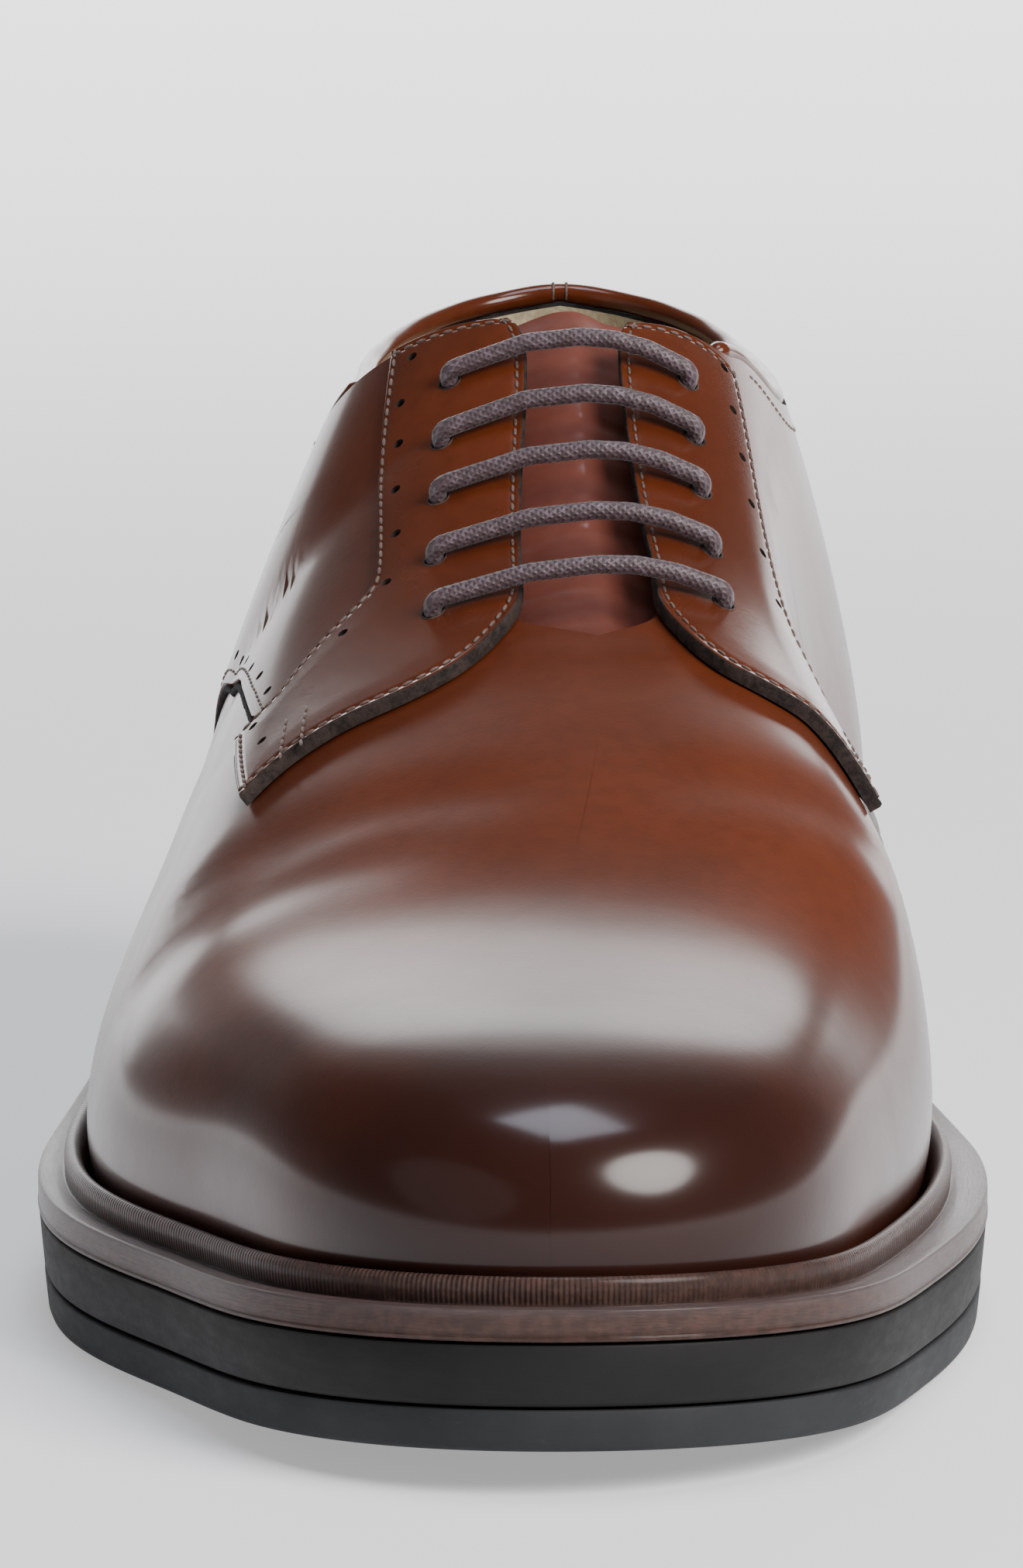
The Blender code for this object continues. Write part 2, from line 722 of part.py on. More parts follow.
def tongue_lift(along, sweep):
    """Depth of the tongue's top under the last: low beside the throat, crowned in it."""
    crown = ease(1 - np.abs(sweep) / TONGUE_CROWN_SWEEP)
    depth = TONGUE_REST + (TONGUE_CROWN - TONGUE_REST) * crown
    root = ease((along - TONGUE_ROOT_START) / TONGUE_ROOT_RUN)
    return -(depth + (TONGUE_ROOT - depth) * root)


def build_tongue(collection):
    """Tongue under the facings, its root under the vamp."""
    along = np.linspace(TONGUE[0][0], TONGUE[-1][0], 16)[:, None]
    ahead = np.linspace(1, 0, 16)[:, None] ** 4 * TONGUE_DIP / LAST_LENGTH
    rows = column(TONGUE, TONGUE_COLUMNS, "along")
    lateral = np.interp(along, rows, column(TONGUE, TONGUE_COLUMNS, "lateral_sweep"))
    medial = np.interp(along, rows, column(TONGUE, TONGUE_COLUMNS, "medial_sweep"))
    share = np.linspace(-1, 1, 11)[None, :]
    sweep = np.where(share < 0, share * lateral, share * medial)
    along = along + ahead * (1 - share**2)
    turn = turn_of(along)
    side = np.where(sweep <= 0, -1.0, 1.0)
    lift = tongue_lift(along, sweep)
    top = surface(side, turn, 1 - np.abs(sweep), lift)
    bottom = surface(side, turn, 1 - np.abs(sweep), lift - TONGUE_THICKNESS)
    return slab("tongue", top, bottom, collection)


def tube(name, path, radius, sides, collection):
    """Round rod along a path, by a bevelled curve with closed ends."""
    curve = bpy.data.curves.new(name, "CURVE")
    curve.dimensions = "3D"
    curve.bevel_depth = radius
    curve.bevel_resolution = sides // 4
    curve.use_fill_caps = True
    line = curve.splines.new("POLY")
    line.points.add(len(path) - 1)
    line.points.foreach_set("co", np.concatenate([path, np.ones((len(path), 1))], 1).ravel())
    holder = bpy.data.objects.new(name + "_path", curve)
    collection.objects.link(holder)
    bpy.context.view_layer.update()
    mesh = bpy.data.meshes.new_from_object(holder.evaluated_get(bpy.context.evaluated_depsgraph_get()))
    bpy.data.objects.remove(holder)
    bpy.data.curves.remove(curve)
    work = bmesh.new()
    work.from_mesh(mesh)
    bmesh.ops.remove_doubles(work, verts=work.verts, dist=0.00002)
    bmesh.ops.recalc_face_normals(work, faces=work.faces)
    bmesh.ops.triangulate(work, faces=work.faces)
    work.to_mesh(mesh)
    work.free()
    mesh.materials.clear()
    mesh.name = name
    result = bpy.data.objects.new(name, mesh)
    collection.objects.link(result)
    return result


def build_binding(collection):
    """Rolled binding along the topline behind the facings."""
    along = np.concatenate([np.linspace(BINDING_END, 0.0, 90), np.linspace(0.0, BINDING_END, 90)[1:]])
    side = np.concatenate([np.full(90, -1.0), np.full(89, 1.0)])
    rise = np.where(side < 0, mouth_rise(-1, along), mouth_rise(1, along))
    turn = turn_of(along)
    half = (QUARTER_STEP - WALL) / 2
    middle = surface(side, turn, rise, np.full(rise.shape, half))
    out = surface(side, turn, rise, np.full(rise.shape, half + 0.001)) - middle
    up = np.cross(np.gradient(middle, axis=0), out)
    up *= np.sign(up[:, 2:])
    up /= np.linalg.norm(up, axis=1, keepdims=True)
    path = middle + up * (BINDING_RADIUS + BINDING_GAP)
    lengths = np.concatenate([[0], np.cumsum(np.linalg.norm(np.diff(path, axis=0), axis=1))])
    at = np.linspace(0, lengths[-1], 47)
    even = np.stack([np.interp(at, lengths, path[:, k]) for k in range(3)], -1)
    return tube("collar_binding", even, BINDING_RADIUS, 8, collection)


def rounded(corners, radius, steps):
    """Path with each sharp corner turned on a round of the given reach."""
    path = [corners[0]]
    for before, corner, after in zip(corners[:-2], corners[1:-1], corners[2:]):
        back = before - corner
        ahead = after - corner
        if back @ ahead < -0.9 * np.linalg.norm(back) * np.linalg.norm(ahead):
            path.append(corner)
            continue
        reach = min(radius, 0.48 * np.linalg.norm(back), 0.48 * np.linalg.norm(ahead))
        start = corner + back / np.linalg.norm(back) * reach
        finish = corner + ahead / np.linalg.norm(ahead) * reach
        share = np.linspace(0, 1, steps)[:, None]
        path.extend((1 - share) ** 2 * start + 2 * share * (1 - share) * corner + share**2 * finish)
    path.append(corners[-1])
    return np.array(path)


def build_laces(collection):
    """One lace: five bars over the throat, joined by runs hidden under the facings."""
    corners = []
    for number, row in enumerate(EYELETS):
        sides = (-1.0, 1.0) if number % 2 == 0 else (1.0, -1.0)
        lateral = eyelet_place(-1, row)
        medial = eyelet_place(1, row)
        first = lateral if sides[0] < 0 else medial
        second = medial if sides[0] < 0 else lateral
        corners.append(surface(sides[0], first[0], first[1], np.array(-LACE_UNDER)))
        corners.append(surface(sides[0], first[0], first[1], np.array(LACE_OVER)))
        sweep_first = sides[0] * (1 - first[1])
        sweep_second = sides[1] * (1 - second[1])
        share = np.array([0.25, 0.42, 0.58, 0.75])
        sweep = sweep_first + (sweep_second - sweep_first) * share
        turn = first[0] + (second[0] - first[0]) * share
        side = np.where(sweep <= 0, -1.0, 1.0)
        lift = LACE_OVER + LACE_ARCH * np.array([0.6, 1, 1, 0.6])
        corners.extend(surface(side, turn, 1 - np.abs(sweep), lift))
        corners.append(surface(sides[1], second[0], second[1], np.array(LACE_OVER)))
        corners.append(surface(sides[1], second[0], second[1], np.array(-LACE_UNDER)))
    return tube("laces", rounded(corners, LACE_BEND, 4), LACE_RADIUS, 8, collection)


def centre_footprint(welt, objects):
    """Move every mesh so that the middle of the welt's outline is over the origin."""
    flat = np.empty(len(welt.data.vertices) * 3)
    welt.data.vertices.foreach_get("co", flat)
    places = flat.reshape(-1, 3)
    middle = (places.min(axis=0) + places.max(axis=0)) / 2
    for item in objects:
        item.data.transform(Matrix.Translation((-middle[0], -middle[1], 0.0)))


def material(name, colour, roughness):
    """Plain surface colour."""
    result = bpy.data.materials.new(name)
    result.use_nodes = True
    shader = result.node_tree.nodes["Principled BSDF"]
    shader.inputs["Base Color"].default_value = (*colour, 1.0)
    shader.inputs["Roughness"].default_value = roughness
    shader.inputs["Metallic"].default_value = 0.0
    return result


def main():
    """Build every piece of the shoe."""
    for old in list(bpy.data.objects):
        bpy.data.objects.remove(old, do_unlink=True)
    shoe = bpy.data.collections.new("plain_toe_derby")
    cutters = bpy.data.collections.new("cutters")
    bpy.context.scene.collection.children.link(shoe)
    bpy.context.scene.collection.children.link(cutters)

    upper = build_upper(shoe)
    facing_lateral = build_facing("facing_lateral", -1.0, FACING_LATERAL, shoe)
    facing_medial = build_facing("facing_medial", 1.0, FACING_MEDIAL, shoe)
    cut_lateral = eyelet_cutters("eyelet_cutters_lateral", -1.0, cutters)
    cut_medial = eyelet_cutters("eyelet_cutters_medial", 1.0, cutters)
    cut(upper, cut_lateral)
    cut(upper, cut_medial)
    cut(facing_lateral, cut_lateral)
    cut(facing_medial, cut_medial)

    welt = build_welt(shoe)
    brown = (0.155, 0.052, 0.026)
    pieces = (
        (upper, "upper_leather", brown, 0.35),
        (facing_lateral, "facing_leather_lateral", brown, 0.38),
        (facing_medial, "facing_leather_medial", brown, 0.38),
        (build_tongue(shoe), "tongue_leather", (0.16, 0.06, 0.04), 0.45),
        (build_binding(shoe), "binding_leather", (0.10, 0.04, 0.025), 0.40),
        (build_laces(shoe), "lace_cord", (0.09, 0.06, 0.06), 0.60),
        (build_insole(shoe), "insole_leather", (0.40, 0.30, 0.20), 0.70),
        (welt, "welt_leather", (0.08, 0.045, 0.035), 0.45),
        (build_midsole(shoe), "midsole_rubber", (0.022, 0.021, 0.021), 0.60),
        (build_outsole(shoe), "outsole_rubber", (0.055, 0.056, 0.058), 0.70),
        (build_heel(shoe), "heel_rubber", (0.022, 0.021, 0.021), 0.60),
        (build_top_lift(shoe), "top_lift_rubber", (0.055, 0.056, 0.058), 0.70),
    )
    for piece, name, colour, roughness in pieces:
        piece.data.materials.append(material(name, colour, roughness))
    centre_footprint(welt, list(shoe.objects) + list(cutters.objects))


main()
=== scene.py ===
"""Plain toe derby, right shoe: its leather, thread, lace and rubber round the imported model.

Metres, +Z up, toe towards -Y, lateral side towards -X. Places on the last are given by
`along` (0 at the heel, 1 at the toe) and `rise` (0 at the feather line, 1 on the ridge).
"""

import math

import bmesh
import bpy
import numpy as np
from bpy.props import FloatProperty, FloatVectorProperty, PointerProperty
from bpy.types import Operator, Panel, PropertyGroup
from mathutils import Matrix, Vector


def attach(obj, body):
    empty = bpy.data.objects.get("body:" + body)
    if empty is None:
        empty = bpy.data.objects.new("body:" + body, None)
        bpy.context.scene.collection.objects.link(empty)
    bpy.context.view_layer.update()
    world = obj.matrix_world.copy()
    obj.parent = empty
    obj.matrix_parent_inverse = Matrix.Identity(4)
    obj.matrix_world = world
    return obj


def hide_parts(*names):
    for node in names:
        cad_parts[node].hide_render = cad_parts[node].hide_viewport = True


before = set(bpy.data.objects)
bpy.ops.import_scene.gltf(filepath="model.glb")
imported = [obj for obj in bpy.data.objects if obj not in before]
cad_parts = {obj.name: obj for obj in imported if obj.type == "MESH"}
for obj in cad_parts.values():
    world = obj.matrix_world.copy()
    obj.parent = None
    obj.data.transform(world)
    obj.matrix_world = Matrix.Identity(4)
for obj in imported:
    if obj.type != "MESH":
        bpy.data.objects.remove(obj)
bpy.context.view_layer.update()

bl_info = {
    "name": "Plain toe derby",
    "version": (1, 0, 0),
    "blender": (4, 5, 0),
    "location": "View3D > Sidebar > Derby",
    "description": "Leather, lace, thread and rubber of a plain toe derby",
    "category": "Object",
}

# Driving sizes
LAST_LENGTH = 0.288
BALL_WIDTH = 0.0955
INSTEP_HEIGHT = 0.069
HEEL_HEIGHT = 0.020
TOE_SPRING = 0.0044
FIT_GAP = 0.0003

# Last details
TOE_CENTRE = 0.031
HEEL_CENTRE = 0.030
CENTRE_BLEND = 0.008
WALL_BULGE = 0.0031
BULGE_HEIGHT = 0.016

# Upper and what lies on it
WALL = 0.0018
QUARTER_STEP = 0.0010
FACING_TOP = 0.0022
QUARTER_CLEARANCE = 0.024
TONGUE_THICKNESS = 0.0016
TONGUE_REST = 0.0048
TONGUE_CROWN = 0.0032
TONGUE_DIP = 0.0014
TONGUE_ROOT = 0.0029
BINDING_RADIUS = 0.0014
BINDING_GAP = 0.0005
BINDING_END = 0.336
LACE_RADIUS = 0.00115
LACE_OVER = 0.0039
LACE_ARCH = 0.0008
LACE_UNDER = 0.00335
LACE_BEND = 0.0019
BRAID_PITCH = 0.00105

# Seams and cut edges: distances along the surface, thicknesses and how far thread sinks in
ARCH_STITCH_INSET = 0.0017
TOPLINE_STITCH_END = 0.318
TOPLINE_STITCH_DROP = 0.022
STITCH_SINK = 0.00004
# The quarter's edge rod is the cut edge drawn dark, as painted shade at the foot of the step.
QUARTER_EDGE_AHEAD = 0.0005
QUARTER_EDGE_LIFT = 0.00022
QUARTER_EDGE_RADIUS = 0.00050
TACK_RADIUS = 0.00022

# Sole
OUTSOLE = 0.0047
MIDSOLE = 0.0070
WELT = 0.0037
BEAD_WIDTH = 0.0024
WELT_GAP = 0.0007
INSOLE = 0.0030
INSOLE_GAP = 0.0011
TOP_LIFT = 0.0060
SOLE_STANDOUT = 0.0078
SIDE_TAPER = 0.0011
HEEL_BREAST = 0.262
HEEL_SETBACK = 0.0004

# The last, a row per section: shares of LAST_LENGTH, BALL_WIDTH and INSTEP_HEIGHT;
# fullness and crown shape the side and top of each section
LAST_COLUMNS = ("along", "lateral", "medial", "ridge", "crest", "full_lateral", "full_medial", "crown")
LAST = (
    (0.000, 0.000, 0.000, 0.000, 1.464, -0.45, -0.45, 0.43),
    (0.017, 0.152, 0.152, 0.000, 1.464, -0.45, -0.45, 0.43),
    (0.067, 0.267, 0.267, 0.000, 1.464, -0.45, -0.45, 0.43),
    (0.146, 0.325, 0.335, 0.000, 1.449, -0.42, -0.44, 0.42),
    (0.250, 0.346, 0.380, -0.005, 1.377, -0.22, -0.38, 0.38),
    (0.371, 0.461, 0.330, 0.021, 1.217, 0.16, 0.11, 0.45),
    (0.500, 0.524, 0.366, 0.042, 1.000, 0.36, 0.24, 0.51),
    (0.629, 0.560, 0.434, 0.058, 0.833, 0.40, 0.50, 0.87),
    (0.750, 0.524, 0.426, 0.021, 0.633, 0.35, 0.22, 1.43),
    (0.854, 0.393, 0.361, -0.010, 0.520, 0.42, 0.40, 1.74),
    (0.933, 0.283, 0.288, -0.010, 0.462, 0.45, 0.45, 1.45),
    (0.983, 0.151, 0.161, -0.005, 0.465, 0.45, 0.45, 1.30),
    (1.000, 0.000, 0.000, 0.000, 0.465, 0.45, 0.45, 1.30),
)

# Edge of the collar and throat on the shell
MOUTH_COLUMNS = ("along", "lateral_rise", "medial_rise")
MOUTH = (
    (0.000, 0.334, 0.334),
    (0.060, 0.312, 0.312),
    (0.120, 0.302, 0.302),
    (0.200, 0.310, 0.312),
    (0.280, 0.370, 0.400),
    (0.325, 0.510, 0.535),
    (0.344, 0.660, 0.612),
    (0.356, 0.780, 0.715),
    (0.366, 0.868, 0.820),
    (0.382, 0.905, 0.868),
    (0.420, 0.912, 0.880),
    (0.500, 0.910, 0.872),
    (0.540, 0.912, 0.880),
    (0.558, 0.940, 0.925),
    (0.570, 1.000, 1.000),
)

# Edge of the quarter, a step in the wall: the vamp shows in front of it and below it
QUARTER_COLUMNS = ("rise", "lateral_along", "medial_along")
QUARTER = (
    (0.00, 0.330, 0.330),
    (0.12, 0.340, 0.350),
    (0.25, 0.362, 0.395),
    (0.36, 0.386, 0.465),
    (0.46, 0.418, 0.516),
    (0.52, 0.448, 0.520),
    (0.57, 0.490, 0.520),
    (0.61, 0.530, 0.520),
    (0.68, 0.545, 0.518),
    (0.80, 0.530, 0.510),
    (0.90, 0.500, 0.500),
    (1.00, 0.500, 0.500),
)
QUARTER_COLUMN = 0.500
QUARTER_RAMP = 0.0022
QUARTER_REACH = (0.20, 0.75)

# Facings: inner or front edge, and outer seam, at matching stations
FACING_COLUMNS = ("edge_along", "edge_rise", "seam_along", "seam_rise")
FACING_LATERAL = (
    (0.366, 0.905, 0.349, 0.700),
    (0.389, 0.934, 0.362, 0.712),
    (0.457, 0.932, 0.400, 0.735),
    (0.515, 0.930, 0.455, 0.760),
    (0.545, 0.928, 0.490, 0.768),
    (0.567, 0.908, 0.501, 0.762),
    (0.590, 0.868, 0.507, 0.745),
    (0.602, 0.810, 0.513, 0.722),
    (0.604, 0.755, 0.519, 0.702),
    (0.607, 0.700, 0.528, 0.678),
    (0.612, 0.660, 0.538, 0.650),
    (0.619, 0.630, 0.543, 0.594),
)
FACING_MEDIAL = (
    (0.370, 0.872, 0.352, 0.580),
    (0.389, 0.902, 0.364, 0.572),
    (0.448, 0.900, 0.400, 0.556),
    (0.518, 0.890, 0.450, 0.546),
    (0.545, 0.896, 0.486, 0.540),
    (0.567, 0.870, 0.500, 0.530),
    (0.586, 0.820, 0.507, 0.515),
    (0.592, 0.760, 0.512, 0.500),
    (0.592, 0.700, 0.517, 0.484),
    (0.590, 0.640, 0.524, 0.466),
    (0.598, 0.570, 0.532, 0.444),
    (0.612, 0.505, 0.540, 0.412),
)

# Eyelets from the top pair down
EYELET_COLUMNS = ("lateral_along", "lateral_rise", "medial_along", "medial_rise")
EYELETS = (
    (0.392, 0.832, 0.394, 0.742),
    (0.426, 0.834, 0.426, 0.742),
    (0.461, 0.838, 0.458, 0.746),
    (0.502, 0.840, 0.496, 0.752),
    (0.543, 0.842, 0.535, 0.768),
)

# How far the sole stands out past the feather line, as a share of SOLE_STANDOUT
STANDOUT_COLUMNS = ("along", "lateral", "medial")
STANDOUT = (
    (0.00, 0.78, 0.78),
    (0.25, 0.78, 0.78),
    (0.42, 0.80, 0.86),
    (0.60, 1.00, 1.14),
    (0.80, 1.02, 1.16),
    (0.93, 1.12, 1.16),
    (1.00, 1.28, 1.28),
)

# Edges of the tongue, as sweep away from the ridge
TONGUE_COLUMNS = ("along", "lateral_sweep", "medial_sweep")
TONGUE = (
    (0.3395, 0.24, 0.31),
    (0.3480, 0.29, 0.38),
    (0.370, 0.30, 0.40),
    (0.450, 0.29, 0.39),
    (0.540, 0.26, 0.34),
    (0.620, 0.22, 0.27),
)

# Welt section, outside to inside: out from the sole's edge or from the wall, and height,
# as shares of SOLE_STANDOUT or BEAD_WIDTH and of WELT
WELT_PROFILE = (
    ("edge", -0.060, 0.00),
    ("edge", -0.004, 0.00),
    ("edge", 0.010, 0.06),
    ("edge", 0.008, 0.12),
    ("edge", -0.012, 0.17),
    ("edge", 0.000, 0.24),
    ("edge", 0.004, 0.55),
    ("edge", 0.002, 0.86),
    ("edge", -0.014, 0.97),
    ("edge", -0.060, 1.00),
    ("edge", -0.200, 0.985),
    ("wall", 1.55, 0.96),
    ("wall", 1.22, 0.90),
    ("wall", 1.10, 0.93),
    ("wall", 1.06, 1.20),
    ("wall", 0.96, 1.55),
    ("wall", 0.72, 1.80),
    ("wall", 0.42, 1.84),
    ("wall", 0.14, 1.66),
    ("wall", 0.00, 1.30),
    ("wall", 0.00, 0.60),
    ("wall", 0.00, 0.00),
)

# Soft troughs pressed into the upper by wear: side, both ends as along and rise, width and depth in mm.
# One unit of rise is about CREASE_GIRTH long, and CREASE_LIP is how far the leather stands up beside one
CREASE_COLUMNS = ("side", "along_a", "rise_a", "along_b", "rise_b", "width", "depth")
CREASE_GIRTH = 0.095
CREASE_LIP = 0.45
CREASES = (
    (-1, 0.660, 0.55, 0.690, 0.90, 5.0, 0.30),
    (-1, 0.700, 0.45, 0.720, 0.80, 6.0, 0.22),
    (1, 0.655, 0.50, 0.680, 0.86, 5.0, 0.26),
    (-1, 0.400, 0.58, 0.470, 0.50, 4.0, 0.07),
    (-1, 0.385, 0.52, 0.450, 0.42, 4.0, 0.06),
    (-1, 0.350, 0.46, 0.400, 0.34, 4.5, 0.08),
    (1, 0.390, 0.44, 0.450, 0.36, 4.0, 0.08),
    (1, 0.370, 0.36, 0.420, 0.26, 4.0, 0.07),
)

# Punched holes: side, along, rise. The first FACING_HOLES are in the facings, the rest beside the arch
HOLES = (
    (-1, 0.364, 0.756), (-1, 0.387, 0.756), (-1, 0.410, 0.769), (-1, 0.440, 0.779), (-1, 0.471, 0.789),
    (-1, 0.503, 0.785), (-1, 0.525, 0.739), (-1, 0.552, 0.630), (-1, 0.578, 0.652),
    (1, 0.362, 0.625), (1, 0.385, 0.615), (1, 0.410, 0.604), (1, 0.435, 0.596), (1, 0.462, 0.588),
    (1, 0.490, 0.578), (1, 0.524, 0.520), (1, 0.548, 0.470),
    (-1, 0.400, 0.438), (-1, 0.416, 0.482), (-1, 0.434, 0.518), (-1, 0.460, 0.556), (-1, 0.485, 0.592),
    (-1, 0.512, 0.622),
)
FACING_HOLES = 17

# Camera, from the photograph: pixels of its 1320 by 2024 frame, degrees and metres
PHOTO_WIDTH = 1320
PHOTO_HEIGHT = 2024
FOCAL = 12535
CENTRE_X = 717.23
CENTRE_Y = 1054.36
CAMERA_UP = 9.484
CAMERA_ROUND = 0.24
CAMERA_FAR = 1.2

# Stage: world, the floor's colour and its glow, painted light that is dimmer near the shoe as painted
# shade, with the distances it runs between, and the lights:
# name, place, aim, width, height, radiance, tint
WORLD_LIGHT = 0.10
FLOOR_SHADE = 0.8
FLOOR_RINGS = (0.25, 1.40)
FLOOR_GLOW = (0.45, 1.70)
LIGHTS = (
    ("low_back", (-0.10, 2.20, 0.30), (-0.10, 0.0, 0.30), 2.4, 0.50, 2.4, (1.0, 1.0, 1.0)),
    ("round_back", (0.02, 2.20, 0.93), (0.02, 0.0, 0.93), 1.90, 1.36, 2.2, (1.0, 1.0, 1.0)),
    ("round_haze", (0.0, 2.30, 1.15), (0.0, 0.0, 1.0), 1.9, 1.80, 0.80, (1.0, 1.0, 1.0)),
    ("overhead_strip", (0.085, -0.05, 1.30), (0.0, -0.12, 0.05), 0.58, 0.50, 9.0, (0.80, 0.86, 1.0)),
    ("round_front", (1.20, -1.05, 1.20), (0.0, -0.13, 0.05), 1.15, 1.15, 15.5, (1.0, 0.98, 0.95)),
    ("round_fill", (-1.6, -1.5, 0.9), (0.0, 0.0, 0.05), 2.60, 1.60, 0.30, (1.0, 1.0, 1.0)),
)


def column(table, columns, name):
    """One named column of a table as an array."""
    return np.array([row[columns.index(name)] for row in table], float)


def spline(x, y, at, closed=False):
    """Natural cubic spline through the points, or a closed one over its period."""
    x = np.asarray(x, float)
    y = np.asarray(y, float)
    at = np.asarray(at, float)
    count = len(x)
    h = np.diff(x)
    matrix = np.zeros((count, count))
    right = np.zeros(count)
    inner = np.arange(1, count - 1)
    matrix[inner, inner - 1] = h[:-1]
    matrix[inner, inner] = 2 * (h[:-1] + h[1:])
    matrix[inner, inner + 1] = h[1:]
    slope = np.diff(y) / h
    right[1:-1] = 6 * np.diff(slope)
    if closed:
        matrix[0, 0] = 1
        matrix[0, -1] = -1
        matrix[-1, 0] = 2 * h[0]
        matrix[-1, 1] = h[0]
        matrix[-1, -2] = h[-1]
        matrix[-1, -1] = 2 * h[-1]
        right[-1] = 6 * (slope[0] - slope[-1])
    else:
        matrix[0, 0] = 1
        matrix[-1, -1] = 1
    bend = np.linalg.solve(matrix, right)
    i = np.clip(np.searchsorted(x, at, side="right") - 1, 0, count - 2)
    before = x[i + 1] - at
    after = at - x[i]
    curved = (bend[i] * before**3 + bend[i + 1] * after**3) / (6 * h[i])
    left_part = (y[i] / h[i] - bend[i] * h[i] / 6) * before
    right_part = (y[i + 1] / h[i] - bend[i + 1] * h[i] / 6) * after
    return curved + left_part + right_part


def turn_of(along):
    """Angle round the plan whose cosine gives the place along the last."""
    return np.arccos(np.clip(1 - 2 * np.asarray(along, float), -1, 1))


def along_of(turn):
    """Place along the last for an angle round the plan."""
    return (1 - np.cos(turn)) / 2


LAST_TURNS = turn_of(column(LAST, LAST_COLUMNS, "along"))


def plan_x(side, turn):
    """Signed distance of the feather line from the axis, by a closed spline round the plan."""
    lateral = column(LAST, LAST_COLUMNS, "lateral") * BALL_WIDTH
    medial = column(LAST, LAST_COLUMNS, "medial") * BALL_WIDTH
    loop_turns = np.concatenate([-LAST_TURNS[::-1], LAST_TURNS[1:]])
    loop_x = np.concatenate([medial[::-1], -lateral[1:]])
    return spline(loop_turns, loop_x, np.where(side < 0, turn, -turn), closed=True)


def last_size(name, along):
    """A last column at a place, splined with level ends."""
    values = column(LAST, LAST_COLUMNS, name)
    turns = np.concatenate([-LAST_TURNS[:0:-1], LAST_TURNS, 2 * math.pi - LAST_TURNS[-2::-1]])
    mirrored = np.concatenate([values[:0:-1], values, values[-2::-1]])
    return spline(turns, mirrored, turn_of(along))


def ease(share):
    """Smooth step from 0 to 1."""
    share = np.clip(share, 0, 1)
    return share * share * (3 - 2 * share)


def ground_lift(along):
    """Height of the outsole's underside: toe spring in front, heel height behind."""
    toe = np.clip((np.asarray(along, float) - 0.72) / 0.28, 0, None)
    return TOE_SPRING * toe**2 + HEEL_HEIGHT * ease((0.62 - np.asarray(along, float)) / 0.50)


def seat(along):
    """Height at which the upper, welt and insole rest on the midsole."""
    return ground_lift(along) + OUTSOLE + MIDSOLE + 2 * FIT_GAP


def soft_limit(value, low, high, blend):
    """Clamp with rounded corners."""
    raised = low + np.logaddexp(0, (value - low) / blend) * blend
    return high - np.logaddexp(0, (high - raised) / blend) * blend


def bulge(height):
    """Outward swell of the wall above the feather line."""
    share = np.clip(height / BULGE_HEIGHT, 0, None)
    return WALL_BULGE * share * np.exp(1 - share)


def last_point(side, turn, rise):
    """Point on the last: a section fans from the ridge to the feather line.

    Each section is an ellipse quarter made fuller by its fullness and flatter by its crown,
    tilted with the slope of the ridge, plus the bulge of the wall.
    """
    side, turn, rise = np.broadcast_arrays(np.asarray(side, float), turn, rise)
    along = along_of(turn)
    y = along * LAST_LENGTH
    rib_y = soft_limit(y, HEEL_CENTRE, LAST_LENGTH - TOE_CENTRE, CENTRE_BLEND)
    rib = rib_y / LAST_LENGTH
    rib_x = last_size("ridge", rib) * BALL_WIDTH
    base = seat(along)
    top = seat(rib) + last_size("crest", rib) * INSTEP_HEIGHT
    out_x = plan_x(side, turn) - rib_x
    out_y = y - rib_y
    reach = np.hypot(out_x, out_y)
    full = np.where(side < 0, last_size("full_lateral", rib), last_size("full_medial", rib))
    step = 1e-4
    top_ahead = seat(rib + step) + last_size("crest", rib + step) * INSTEP_HEIGHT
    top_behind = seat(rib - step) + last_size("crest", rib - step) * INSTEP_HEIGHT
    slope = (top_ahead - top_behind) / (2 * step * LAST_LENGTH) * out_y / reach
    height = top - base
    crown = last_size("crown", rib) * INSTEP_HEIGHT
    shoulder = reach * (1 + full) + bulge(height)
    flat = np.clip(0.5 - shoulder**2 / (2 * height * crown), -0.30, 0.40)
    angle = rise * math.pi / 2
    out = reach * np.cos(angle) * (1 + full * np.sin(angle) ** 2)
    up = np.sin(angle) * (1 + flat * np.cos(angle) ** 2) * (height + slope * out)
    out = out + bulge(up) * np.cos(angle)
    x = rib_x + out_x / reach * out
    back = rib_y + out_y / reach * out
    return np.stack([x, LAST_LENGTH / 2 - back, base + up], -1)


def side_normal(side, turn, rise):
    """Outward direction of the last's surface on one side."""
    step = 1e-4
    round_plan = last_point(side, turn + step, rise) - last_point(side, turn - step, rise)
    up_wall = last_point(side, turn, rise + step) - last_point(side, turn, rise - step)
    normal = np.cross(round_plan, up_wall)
    normal /= np.linalg.norm(normal, axis=-1, keepdims=True)
    return normal * np.where(np.asarray(side) < 0, 1.0, -1.0)[..., None]


def surface(side, turn, rise, lift):
    """Point at a lift above the last, with one shared direction along the ridge."""
    side, turn, rise, lift = np.broadcast_arrays(np.asarray(side, float), turn, rise, lift)
    near = np.minimum(rise, 0.97)
    normal = side_normal(side, turn, near)
    shared = normal + side_normal(-side, turn, near)
    shared /= np.linalg.norm(shared, axis=-1, keepdims=True)
    share = ease((rise - 0.94) / 0.06)[..., None]
    normal = normal * (1 - share) + shared * share
    normal /= np.linalg.norm(normal, axis=-1, keepdims=True)
    return last_point(side, turn, rise) + normal * lift[..., None]


def mouth_rise(side, along):
    """Rise of the collar or throat edge at a place, 1 in front of the throat."""
    rows = turn_of(column(MOUTH, MOUTH_COLUMNS, "along"))
    name = "lateral_rise" if side < 0 else "medial_rise"
    rise = spline(rows, column(MOUTH, MOUTH_COLUMNS, name), turn_of(along))
    return np.minimum(rise, 1.0)


